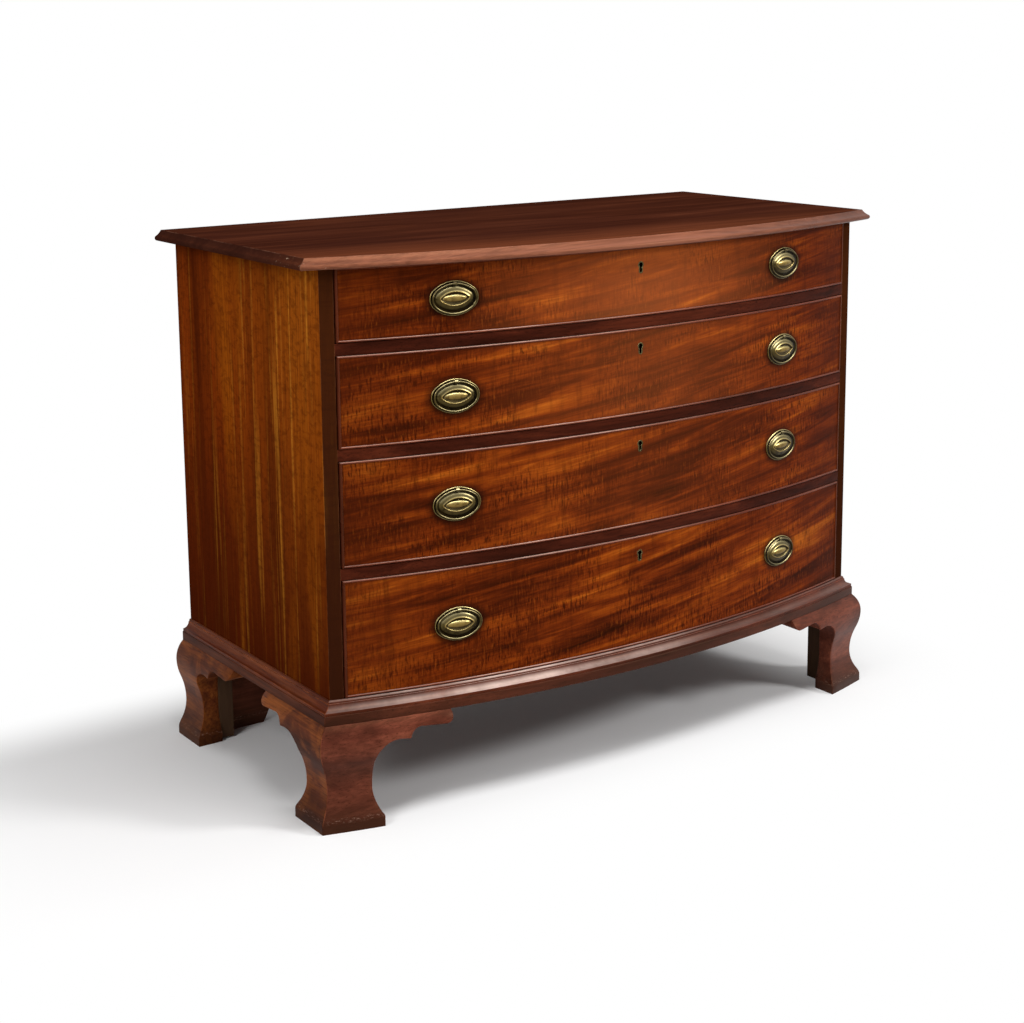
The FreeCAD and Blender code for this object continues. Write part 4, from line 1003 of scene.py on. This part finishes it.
def nose(*angles):
    """Stages round the nose, by the angle from its widest line."""
    return [(NOSE * (1 - math.cos(math.radians(a))), NOSE * math.sin(math.radians(a)))
            for a in angles]


def hollow(start_in, start_up):
    """Stages from the nose up to the flat face, along a slope that sags in the middle."""
    stages = []
    for share in (0.2, 0.4, 0.6, 0.8, 1.0):
        sag = 4 * SAG * share * (1 - share) / math.sqrt(2)
        stages.append((start_in + share * (FLAT_IN - start_in) + sag,
                       start_up + share * (TOP_Z - CASE_TOP - NOSE - start_up) - sag))
    return stages


nose_up = nose(11, 22, 33, 45)
top = stamp(bowed_plan(TOP_HALF, TOP_OFFSET, BACK_Y + SPARE, NOSE_Z),
            nose_up + hollow(*nose_up[-1]))
lower = bowed_plan(TOP_HALF, TOP_OFFSET, BACK_Y + SPARE, NOSE_Z)
bmesh.ops.reverse_faces(lower, faces=lower.faces)
stamp(lower, nose(15, 35, 55, 75, 90))
lower_half = bpy.data.meshes.new("lower_half")
lower.to_mesh(lower_half)
lower.free()
top.from_mesh(lower_half)
bmesh.ops.remove_doubles(top, verts=top.verts, dist=1e-6)
bolt_pocket(saw_back(top), CASE_TOP)
top.normal_update()
for face in top.faces:
    face.material_index = int(abs(face.normal.y) > 0.3 and face.calc_center_median().y < 0.0)
make_piece("top_board_moulded", [top], [top_wood, top_edge_wood], "case", ["top_board"])

# %% [markdown]
# ## The base moulding and its frame
# Under the lowest drawer runs a small bead with a hollow below it, mitred round the front corners.
# We draw the section once, carry it round the bow, and saw it at the mitres; the sides are the
# same section pulled straight back.

# %% Base moulding
BOTTOM_Z, OPENING_Z = 0.172, 0.1905       # the moulding's foot, and the lowest drawer's opening
MOULDING = 0.0143                         # how far its foot stands out
BEAD, QUIRK = 0.0032, 0.0012              # radius of the bead, and the small step beside it


def moulding_section():
    """A bead above, a small step, and a hollow that sweeps out to the foot."""
    hollow_in = BEAD + QUIRK
    hollow_z = OPENING_Z - BEAD - QUIRK
    sweep = MOULDING - hollow_in
    return draw(bmesh.new(), (0.0, BOTTOM_Z), (MOULDING, BOTTOM_Z), (MOULDING, hollow_z - sweep),
                ((MOULDING, hollow_z), -90.0, 8), (BEAD, hollow_z), (BEAD, OPENING_Z - BEAD),
                ((0.0, OPENING_Z - BEAD), 90.0, 6))


front = round_the_bow(moulding_section())
lengths = []
for side in (-1, 1):
    point, direction = mitre(side, MOULDING)
    saw(front, point, direction)
    length = along_side(moulding_section(), side, CORNER_Y - 0.05, BACK_Y)
    saw(length, point, -direction)
    lengths.append(saw_back(length))
make_piece("base_moulding_front", [front], base_wood, "case", ["base_moulding"])
make_piece("base_moulding_sides", lengths, base_wood_deep, "case", ["base_moulding"])

# %% [markdown]
# Below the moulding lies a flat frame of four rails that the feet are glued to. Its outer edge
# shows as a thin fillet, so only that arris is eased. The front rail is a bowed plan made thick,
# and its corners are mitred like the moulding above.

# %% Base frame
FRAME_Z = 0.1575                          # underside of the frame
FRAME_OUT = 0.0155                        # how far it stands out
FRAME_EASE = 0.0016
REAR_RAIL = 0.060                         # width of the rear rail
RAIL_BACK_Y = CORNER_Y + 0.044
inner_x = CASE_HALF - 0.060


def bowed_rail(half_width, offset, z_low, z_high):
    """A bowed plan made thick, from one height to another."""
    plan = bowed_plan(half_width, offset, RAIL_BACK_Y, z_low)
    bmesh.ops.translate(plan, verts=thicken(plan), vec=(0.0, 0.0, z_high - z_low))
    bmesh.ops.recalc_face_normals(plan, faces=plan.faces)
    return plan


front = bowed_rail(CASE_HALF + FRAME_OUT, FRAME_OUT, FRAME_Z, BOTTOM_Z)
arris = [edge for edge in front.edges
         if all(v.co.z > BOTTOM_Z - 1e-5 and v.co.y < RAIL_BACK_Y - 1e-4 for v in edge.verts)]
ease(front, arris, FRAME_EASE, 3)
lengths = []
for side in (-1, 1):
    tip = Vector((side * (CASE_HALF + FRAME_OUT), bow_y(CASE_HALF + FRAME_OUT, FRAME_OUT), 0.0))
    point, direction = halving(side, tip, Vector((side * inner_x, RAIL_BACK_Y, 0.0)))
    saw(front, point, direction)
    rail = draw(bmesh.new(), (inner_x - CASE_HALF, FRAME_Z), (FRAME_OUT, FRAME_Z),
                (FRAME_OUT, BOTTOM_Z - FRAME_EASE),
                ((FRAME_OUT - FRAME_EASE, BOTTOM_Z - FRAME_EASE), 90.0, 3),
                (inner_x - CASE_HALF, BOTTOM_Z))
    along_side(rail, side, CORNER_Y - 0.06, BACK_Y)
    saw(rail, point, -direction)
    lengths.append(saw_back(rail))
rear = bmesh.new()
middle = Matrix.Translation((0.0, BACK_Y - REAR_RAIL / 2, (FRAME_Z + BOTTOM_Z) / 2))
bmesh.ops.create_cube(rear, size=1.0, matrix=middle
                      @ Matrix.Diagonal((2 * inner_x, REAR_RAIL, BOTTOM_Z - FRAME_Z, 1.0)))
make_piece("base_frame_front", [front, rear], frame_wood, "case", ["base_frame"])
make_piece("base_frame_sides", lengths, frame_wood_deep, "case", ["base_frame"])

# %% [markdown]
# ## Ogee bracket feet
# A bracket foot is two boards mitred at the corner. Its face is an ogee: a full swell above, a
# hollow waist, and a flare to the pad. We work it out as arcs that meet without a corner, and ask
# for one number: how far the face stands out at a given height.

# %% Section of the ogee
FOOT_Z = 0.1575                                           # top of a foot
NECK, BULGE, WAIST, PAD = 0.0155, 0.0285, 0.0140, 0.0290  # how far each stands out
BULGE_Z, WAIST_Z, PAD_Z = 0.128, 0.057, 0.017
FOOT_BACK = -0.012                                        # inner face of the bracket boards
PAD_EASE = 0.005                                          # how softly the flare turns into the pad
SWELL_SHARE = 0.42                                        # of the fall from swell to waist


def arc_radius(rise, run):
    """Radius of an arc that runs this far sideways while it rises, from an upright start."""
    return (rise ** 2 + run ** 2) / (2 * run)


fall = BULGE_Z - WAIST_Z
both_radii = arc_radius(fall, BULGE - WAIST)
UPPER, LOWER = SWELL_SHARE * both_radii, (1 - SWELL_SHARE) * both_radii
TURN_Z = BULGE_Z - SWELL_SHARE * fall


def ogee(z):
    """How far a foot stands out from the case at this height."""
    if z <= TURN_Z:
        radius = arc_radius(WAIST_Z - PAD_Z, PAD - WAIST) if z < WAIST_Z else LOWER
        flare = WAIST + radius - math.sqrt(max(radius ** 2 - (z - WAIST_Z) ** 2, 0.0))
        near = max(PAD_EASE - abs(flare - PAD), 0.0) / PAD_EASE
        return min(flare, PAD) - near ** 2 * PAD_EASE / 4
    radius = UPPER if z < BULGE_Z else arc_radius(FOOT_Z - BULGE_Z, BULGE - NECK)
    return BULGE - radius + math.sqrt(radius ** 2 - (z - BULGE_Z) ** 2)


for word, z in (("swell", BULGE_Z), ("waist", WAIST_Z), ("pad", PAD_Z)):
    print("the %s stands %.1f mm out" % (word, 1000 * ogee(z)))

# %% [markdown]
# The edge of a bracket is sawn to a scroll: a leg, a cove, a cusp and a wing that dies into the
# frame. We draw it as a flat face and slice it by level, so that each level can be pushed out by
# the ogee later. A face without those slices would stay flat between its corners.

# %% Sawn scroll of a bracket
FIRST_LEVEL, LEVELS = 0.005, 40
SLICES, SLICE = 12, 0.018                 # upright cuts, which let the face follow the bow


def arc_to(start, end, sag, steps):
    """An arc move for draw(): it stands off the straight line by sag, to the left of its way."""
    chord = Vector(end) - Vector(start)
    radius = arc_radius(chord.length / 2, abs(sag))
    middle = (Vector(start) + Vector(end)) / 2
    left = Vector((-chord.y, chord.x)).normalized() * (1 if sag > 0 else -1)
    centre = middle - left * (radius - abs(sag))
    angle = 2 * math.degrees(math.asin(chord.length / 2 / radius))
    return tuple(centre), angle * (-1 if sag > 0 else 1), steps


def bracket_face(leg):
    """The scroll as one flat face, reach from the corner against height, sliced by level."""
    bm = bmesh.new()
    pad, heel = (leg + 0.0105, 0.0), (leg + 0.0105, PAD_Z - 0.005)
    brow, low, high = (leg + 0.0082, PAD_Z + 0.004), (leg, 0.062), (leg, 0.095)
    cove, cusp, notch = (leg + 0.036, 0.129), (leg + 0.0515, 0.1275), (leg + 0.070, 0.1425)
    tip, wing = (leg + 0.107, 0.140), (leg + 0.1195, 0.152)
    draw(bm, (-0.06, 0.0), pad, heel, arc_to(heel, brow, -0.0012, 4), arc_to(brow, low, 0.0022, 8),
         high, arc_to(high, cove, 0.0102, 12), cusp, arc_to(cusp, notch, 0.0047, 8), tip,
         arc_to(tip, wing, -0.0037, 6), (wing[0], FOOT_Z), (-0.06, FOOT_Z))
    bmesh.ops.contextual_create(bm, geom=bm.edges[:])
    for index in range(LEVELS):
        z = FIRST_LEVEL + (FOOT_Z - FIRST_LEVEL) * index / LEVELS
        bmesh.ops.bisect_plane(bm, geom=whole(bm), plane_co=(0, 0, z), plane_no=(0, 0, 1))
    for index in range(SLICES):
        y = 0.045 - SLICE * index
        bmesh.ops.bisect_plane(bm, geom=whole(bm), plane_co=(0, y, 0), plane_no=(0, 1, 0))
    return bm


# %% [markdown]
# The two boards of a foot differ only in the line they follow: the front one takes the bow, and
# the side one is straight. Each is thickened, its outer skin is pushed out by the ogee, and its
# sawn edge is rounded over, as a rasp would leave it, before the mitre is cut.

# %% Front and side brackets
SAWN_EASE = 0.0016


def soften(bm, outer):
    """Round the sawn edge of the outer skin, but not along its top."""
    skin = set(outer)
    rim = [edge for edge in bm.edges if all(v in skin for v in edge.verts)
           and any(v not in skin for face in edge.link_faces for v in face.verts)
           and min(v.co.z for v in edge.verts) < FOOT_Z - 1e-5]
    ease(bm, rim, SAWN_EASE, 3, clamp_overlap=True)


def front_bracket(side, leg):
    """A bracket that follows the bow, mitred at its corner."""
    bm = bracket_face(leg)
    turn(bm, -side * math.pi / 2, "Z")
    shift(bm, side * CASE_HALF, 0.0, 0.0)
    outer = thicken(bm)
    for v in bm.verts:
        v.co.y = bow_y(v.co.x, FOOT_BACK)
    for v in outer:
        v.co.y = bow_y(v.co.x, ogee(v.co.z))
    soften(bm, outer)
    return saw(bm, *mitre(side, PAD, FOOT_BACK))


def side_bracket(side, leg, corner, inward):
    """A straight bracket along the side of the case, reaching inward (+1 back, -1 forward)."""
    bm = bracket_face(leg)
    turn(bm, math.pi if inward > 0 else 0.0, "Z")
    shift(bm, side * (CASE_HALF + FOOT_BACK), corner, 0.0)
    outer = thicken(bm)
    for v in outer:
        v.co.x = side * (CASE_HALF + ogee(v.co.z))
    soften(bm, outer)
    return bm


# %% [markdown]
# The rear feet stand against a wall, so makers gave them an ogee only at the side and closed the
# corner behind with a plain raking board. We saw the rear flanks off square with the back, and
# draw the plain board as a flat shape of four points.

# %% Set the feet under the case
FRONT_LEG, REAR_LEG = 0.0505, 0.066       # from the corner to the leg's sawn edge
BOARD_BACK, BOARD_THICK = 0.040, 0.020    # the plain board: how far in from the back, how thick


def raking_board(side):
    """The plain board that closes a rear foot behind, its inner edge cut on the slant."""
    board = draw(bmesh.new(), (-0.012, 0.0), (-0.106, 0.0), (-0.184, FOOT_Z), (-0.012, FOOT_Z))
    bmesh.ops.contextual_create(board, geom=board.edges[:])
    turn(board, side * math.pi / 2, "Z")
    shift(board, side * CASE_HALF, BACK_Y - BOARD_BACK, 0.0)
    bmesh.ops.translate(board, verts=thicken(board), vec=(0.0, BOARD_THICK, 0.0))
    return board


for side, word in ((-1, "left"), (1, "right")):
    front_foot, rear_foot = "front_%s_foot" % word, "rear_%s_foot" % word
    point, direction = mitre(side, PAD, FOOT_BACK)
    flank = saw(side_bracket(side, FRONT_LEG, CORNER_Y, 1), point, -direction)
    make_piece(front_foot + "_face", [front_bracket(side, FRONT_LEG)], foot_wood, "case",
               [front_foot], crease=40.0)
    make_piece(front_foot + "_flank", [flank], foot_wood_deep, "case", [front_foot],
               crease=40.0)
    flank = saw_back(side_bracket(side, REAR_LEG, BACK_Y, -1))
    make_piece(rear_foot + "_flank", [flank], foot_wood_deep, "case", [rear_foot],
               crease=40.0)
    make_piece(rear_foot + "_board", [raking_board(side)], foot_wood, "case",
               [rear_foot])

# %% [markdown]
# ## Rails
# Between the drawers run thin rails whose front edges follow the bow. They are plain boards, but
# polished, so we remake them with a smooth curve and a softened arris that can catch the light.

# %% Drawer rails
OPENINGS = ((0.707, 0.8135), (0.556, 0.690), (0.383, 0.539), (0.1905, 0.366))   # from the top
INNER_HALF = 0.490                        # half the width between the side boards
for number in (1, 2, 3):
    low, high = OPENINGS[number][1], OPENINGS[number - 1][0]
    rail = bowed_rail(INNER_HALF, 0.0, low, high)
    arris = [edge for edge in rail.edges if all(v.co.y < RAIL_BACK_Y - 1e-4 for v in edge.verts)
             and abs(edge.verts[0].co.z - edge.verts[1].co.z) < 1e-6]
    ease(rail, arris, 0.0005, 2)
    make_piece("rail_%d_bowed" % number, [bolt_pocket(rail, low)], rail_wood, "case",
               ["drawer_rail_%d" % number])

# %% [markdown]
# ## Drawer fronts
# Each front is framed by a cock bead: a thin strip with a rounded nose that stands just proud and
# shields the veneer's edge. The two long strips follow the bow, the two uprights are straight,
# and all four are mitred. An upright's section is skewed to the bow's slope at the drawer's end.

# %% Cock beads
DRAWER_HALF = 0.4875                      # half the width of a drawer front
DRAWER_GAP = 0.001                        # between a drawer front and its opening
BEAD_THICK, BEAD_OUT, BEAD_IN = 0.003, 0.0018, -0.0085
BEAD_X = DRAWER_HALF - BEAD_THICK / 2     # middle of an upright bead
END_SLOPE = math.tan(math.asin(BEAD_X / BOW_RADIUS))


def strip_section(z):
    """Section of a bead lying above z, with a half-round nose."""
    half = BEAD_THICK / 2
    return draw(bmesh.new(), (BEAD_IN, z), (BEAD_OUT - half, z),
                ((BEAD_OUT - half, z + half), 180.0, 8), (BEAD_IN, z + BEAD_THICK))


def bead_run(low, high, tilt):
    """The lower (tilt 1) or upper (tilt -1) strip, mitred at both ends."""
    strip = round_the_bow(strip_section(low if tilt > 0 else high - BEAD_THICK))
    for side in (-1, 1):
        saw(strip, (side * DRAWER_HALF, 0.0, low if tilt > 0 else high), (side, 0.0, tilt))
    return strip


def bead_upright(low, high, side):
    """The left (-1) or right (+1) strip, mitred at both ends."""
    strip = strip_section(-BEAD_THICK / 2)
    turn(strip, math.pi / 2, "Y")
    for v in strip.verts:
        v.co.y += v.co.x * side * END_SLOPE
    shift(strip, side * BEAD_X, bow_y(BEAD_X), low)
    draw_out(strip, 0.0, 0.0, high - low)
    for edge, tilt in ((low, -1), (high, 1)):
        saw(strip, (side * DRAWER_HALF, 0.0, edge), (-side, 0.0, tilt))
    return strip


for number, (opening_low, opening_high) in enumerate(OPENINGS, 1):
    name = "drawer_%d" % number
    low, high = opening_low + DRAWER_GAP, opening_high - DRAWER_GAP
    make_piece(name + "_bead_runs", [bead_run(low, high, tilt) for tilt in (1, -1)], bead_wood,
               name, [name + "_cock_bead"])
    make_piece(name + "_bead_uprights", [bead_upright(low, high, side) for side in (-1, 1)],
               bead_wood_upright, name, [name + "_cock_bead"])

# %% [markdown]
# A keyhole is a round head over a straight slot. We draw it once, as an outline that can be grown:
# the veneer is cut to the outside of a thin brass liner, and the liner lies between the outline
# and the grown one.

# %% Keyhole outline
KEY_DROP = 0.032                          # from the top of an opening to the keyhole's middle
HEAD, SLOT, KEY_HEIGHT, LINER = 0.0036, 0.0021, 0.015, 0.0016


def keyhole(bm, grow, z):
    """A round head over a straight slot with a rounded foot, drawn about height z."""
    head, slot = HEAD + grow, SLOT + grow
    head_z = z + KEY_HEIGHT / 2 - HEAD
    foot_z = z - KEY_HEIGHT / 2 + SLOT
    dip = math.sqrt(head ** 2 - slot ** 2)
    neck = math.degrees(math.atan2(dip, slot))
    before = set(bm.verts)
    draw(bm, (slot, foot_z), (slot, head_z - dip), ((0.0, head_z), 180.0 + 2 * neck, 20),
         (-slot, foot_z), ((0.0, foot_z), 180.0, 10))
    fresh = [v for v in bm.verts if v not in before]
    bmesh.ops.rotate(bm, verts=fresh, cent=ORIGIN, matrix=Matrix.Rotation(math.pi / 2, 3, "Z"))
    return fresh


# %% [markdown]
# The veneer is a thin sheet of figured wood glued to the front. We fill its outline round the
# keyhole, slice it upright so that it can bend, give it thickness, and set both skins on the bow.
# Each drawer has a sheet of its own, because no two were cut from one place in the log.

# %% Veneer sheets
VENEER, VENEER_BACK = 0.00015, -0.0005    # offsets of the sheet's two skins
PULL_LIFT = (0.0, -0.004, -0.001, 0.0015)   # from the middle of each opening, from the top drawer
PULL_Z = [(low + high) / 2 + lift for (low, high), lift in zip(OPENINGS, PULL_LIFT)]
PAINTED_SHEEN = (0.30, 0.14, 0.05, 0.0)        # painted highlight in each drawer's middle, from the top drawer; the upper ones get more


def veneer_sheet(low, high, key_z):
    """A flat sheet with a keyhole, sliced upright and bent round the bow."""
    bm = bmesh.new()
    half = DRAWER_HALF - BEAD_THICK
    corner = [bm.verts.new((x, 0.0, z))
              for x, z in ((-half, low), (half, low), (half, high), (-half, high))]
    for here, there in zip(corner, corner[1:] + corner[:1]):
        bm.edges.new((here, there))
    keyhole(bm, LINER, key_z)
    bmesh.ops.triangle_fill(bm, edges=bm.edges[:], use_beauty=True)
    for index in range(1, 64):
        x = half * (index / 32 - 1)
        bmesh.ops.bisect_plane(bm, geom=whole(bm), plane_co=(x, 0, 0), plane_no=(1, 0, 0))
    outer = set(thicken(bm))
    for v in bm.verts:
        v.co.y = bow_y(v.co.x, VENEER if v in outer else VENEER_BACK)
    return bm


for number, (low, high) in enumerate(OPENINGS, 1):
    inset = DRAWER_GAP + BEAD_THICK
    sheet = veneer_sheet(low + inset, high - inset, high - KEY_DROP)
    figured = veneer_finish(number, PULL_Z[number - 1], PAINTED_SHEEN[number - 1])
    make_piece("drawer_%d_veneer" % number, [sheet], figured, "drawer_%d" % number)

# %% [markdown]
# ## Brass
# Each pull is a stamped oval plate with a ring. A true ellipse is awkward to inset, since its
# inner lines are no ellipses; four arcs that meet without a corner look the same, and every
# inset of them is again four arcs.

# %% Oval of four arcs


def oval_arcs(half_length, half_height, end_radius):
    """Where the pen starts, and (centre, degrees) of the four arcs that meet smoothly."""
    end_x = half_length - end_radius
    drop = (end_x ** 2 - (half_height - end_radius) ** 2) / (2 * (half_height - end_radius))
    join = math.degrees(math.atan2(drop, end_x))
    side_turn = 180.0 - 2 * join
    arcs = (((0.0, -drop), side_turn), ((-end_x, 0.0), 2 * join),
            ((0.0, drop), side_turn), ((end_x, 0.0), 2 * join))
    start = (end_x + end_radius * math.cos(math.radians(join)),
             end_radius * math.sin(math.radians(join)))
    return start, arcs


def oval_face(half_length, half_height, end_radius):
    """The oval as one face in the plane y = 0, facing the viewer."""
    bm = bmesh.new()
    start, arcs = oval_arcs(half_length, half_height, end_radius)
    draw(bm, start, *[(centre, degrees, 18) for centre, degrees in arcs])
    bmesh.ops.contextual_create(bm, geom=bm.edges[:])
    turn(bm, math.pi / 2, "Z")
    return turned_to(bm, (0.0, -1.0, 0.0))


# %% [markdown]
# The plate has a flat margin, a dome, a raised lip round a sunk well, and a long oval boss in the
# middle. We stamp it stage by stage, as the press did, and each stage names its brass: rubbed and
# given a painted highlight on the lips, shaded in the wells.

# %% Plate and boss
PLATE_END = 0.018                         # radius of the plate's two ends
BRASS, SHADED, RUBBED_AND_LIT = 0, 1, 2
PLATE_STAGES = [
    (0.0, 0.0006, BRASS), (0.0004, 0.0011, BRASS), (0.0010, 0.0014, RUBBED_AND_LIT),
    (0.0016, 0.0011, BRASS), (0.0022, 0.0008, SHADED), (0.0060, 0.0009, SHADED),
    (0.0078, 0.0014, SHADED), (0.0084, 0.0021, BRASS), (0.0092, 0.0028, BRASS),
    (0.0104, 0.0034, BRASS), (0.0124, 0.0040, BRASS), (0.0144, 0.0043, BRASS),
    (0.0149, 0.0048, RUBBED_AND_LIT), (0.0155, 0.0050, RUBBED_AND_LIT), (0.0161, 0.0047, RUBBED_AND_LIT),
    (0.0166, 0.0038, SHADED), (0.0172, 0.0032, SHADED),
]


def plate():
    """The stamped oval, with its open back closed."""
    bm = stamp(oval_face(*PLATE_HALF, PLATE_END), PLATE_STAGES)
    bmesh.ops.edgeloop_fill(bm, edges=[edge for edge in bm.edges if edge.is_boundary])
    return bm


def boss():
    """A long oval swelling: the front half of a ball, stretched."""
    bm = bmesh.new()
    bmesh.ops.create_uvsphere(bm, u_segments=40, v_segments=20, radius=1.0)
    turn(bm, math.pi / 2, "Y")
    saw(bm, ORIGIN, (0.0, 1.0, 0.0))
    bmesh.ops.scale(bm, verts=bm.verts, vec=(0.0185, 0.0033, 0.0056))
    shift(bm, 0.0, -0.0026, 0.0)
    for face in bm.faces:
        face.material_index = RUBBED_AND_LIT
    return bm


# %% [markdown]
# The ring is round wire carried along the same kind of oval, and hangs from a small barrel at the
# top of the plate. The wire's top lies on the joint's axis, so the ring swings
# without sliding.

# %% Knuckle and ring
HINGE_Z, RING_AXIS = 0.021, 0.0034        # the axis: above the plate's middle, and in front of it
KNUCKLE, KNUCKLE_LENGTH = 0.0026, 0.0055
RING_HALF, RING_END, WIRE = (0.0335, 0.0215), 0.0155, 0.0015


def knuckle():
    """A small barrel along X with the ring through it."""
    bm = bmesh.new()
    bmesh.ops.create_cone(bm, segments=20, radius1=KNUCKLE, radius2=KNUCKLE, depth=KNUCKLE_LENGTH,
                          cap_ends=True)
    rims = [edge for edge in bm.edges if len(edge.link_faces) == 2
            and abs(edge.verts[0].co.z - edge.verts[1].co.z) < 1e-6]
    ease(bm, rims, 0.0005, 2)
    turn(bm, math.pi / 2, "Y")
    shift(bm, 0.0, -RING_AXIS, HINGE_Z)
    return bm


def ring():
    """Round wire carried round the four arcs of an oval, hanging from the hinge."""
    bm = bmesh.new()
    (x, z), arcs = oval_arcs(*RING_HALF, RING_END)
    end_x = arcs[3][0][0]
    bmesh.ops.create_circle(bm, segments=12, radius=WIRE)
    turn(bm, -math.atan2(z, x - end_x), "Y")
    shift(bm, x, 0.0, z)
    last = bm.verts[:] + bm.edges[:]
    for (out, up), degrees in arcs:
        last = bmesh.ops.spin(bm, geom=last, cent=(out, 0.0, up), axis=(0.0, -1.0, 0.0),
                              angle=math.radians(degrees), steps=14,
                              use_duplicate=False)["geom_last"]
    bmesh.ops.remove_doubles(bm, verts=bm.verts, dist=1e-5)
    shift(bm, 0.0, -RING_AXIS, HINGE_Z - RING_HALF[1])
    return bm


# %% [markdown]
# Now every drawer gets its brasses. Plates, liner and knuckles ride on the drawer; each ring
# rides on a body of its own, so that it can swing. A piece is made at the origin, where it is
# easy to measure, and then turned to lie square on the bow.

# %% Set the brasses on every drawer


def placed_on_bow(bm, side, z):
    """Turn a piece made at the origin to lie on the drawer front, left (-1) or right (+1)."""
    x = side * PULL_X
    turn(bm, math.asin(x / BOW_RADIUS), "Z")
    shift(bm, x, bow_y(x), z)
    return bm


def key_liner(key_z):
    """A thin brass lining between the keyhole and its grown outline."""
    bm = bmesh.new()
    keyhole(bm, 0.0, key_z)
    keyhole(bm, LINER, key_z)
    bmesh.ops.bridge_loops(bm, edges=bm.edges[:])
    shift(bm, 0.0, BOW_FRONT - 0.0005, 0.0)
    bmesh.ops.translate(bm, verts=thicken(bm), vec=(0.0, 0.0065, 0.0))
    return bm


for number, z in enumerate(PULL_Z, 1):
    name = "drawer_%d" % number
    stamped = [placed_on_bow(make(), side, z) for side in (-1, 1) for make in (plate, boss)]
    liner = key_liner(OPENINGS[number - 1][1] - KEY_DROP)
    make_piece(name + "_plates", stamped + [liner], [brass, brass_dark, brass_bright], name,
               [name + "_front_brasses"], crease=50.0)
    knuckles = [placed_on_bow(knuckle(), side, z) for side in (-1, 1)]
    make_piece(name + "_knuckles", knuckles, brass, name)
    for side, word in ((-1, "left"), (1, "right")):
        ring_name = "%s_ring_%s" % (name, word)
        make_piece(ring_name + "_wire", [placed_on_bow(ring(), side, z)], brass, ring_name,
                   [ring_name], crease=60.0)

# %% [markdown]
# ## Finishes for the joinery that stays
# Side boards, drawer boxes, backs, runners and locks are already the right shape, so they keep
# their own meshes and only get a finish: mahogany where it shows, pine behind, iron for the locks.

# %% Assign the finishes
CASE_FINISHES = {
    "left_side_board": end_wood, "right_side_board": end_wood, "bottom_board": rail_wood,
    "back_boards": pine_back, "drawer_runners": pine_deep, "foot_glue_blocks": block_wood,
}
DRAWER_FINISHES = {
    "front": rail_wood, "sides": pine_deep, "back": pine_long, "bottom": pine_long,
    "lock": iron, "lock_bolt": iron, "pull_posts": brass,
}


def finish_node(name, finish):
    """Put one finish in every slot of a piece of the joinery."""
    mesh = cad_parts[name].data
    if not mesh.materials:
        mesh.materials.append(finish)
    for index in range(len(mesh.materials)):
        mesh.materials[index] = finish


for name, finish in CASE_FINISHES.items():
    finish_node(name, finish)
for number in (1, 2, 3, 4):
    for part, finish in DRAWER_FINISHES.items():
        finish_node("drawer_%d_%s" % (number, part), finish)
print("finished:", len(CASE_FINISHES) + 4 * len(DRAWER_FINISHES), "pieces of the joinery")

# %% [markdown]
# ## Check the size
# Dressing must not change the chest's size, so we print how far the dressed pieces reach past the
# joinery's box.

# %% Print how far it grew
dressed_low, dressed_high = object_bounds()
grown = (cad_low - dressed_low)[:] + (dressed_high - cad_high)[:]
print("grew by (mm):", [round(1000 * v, 2) for v in grown])
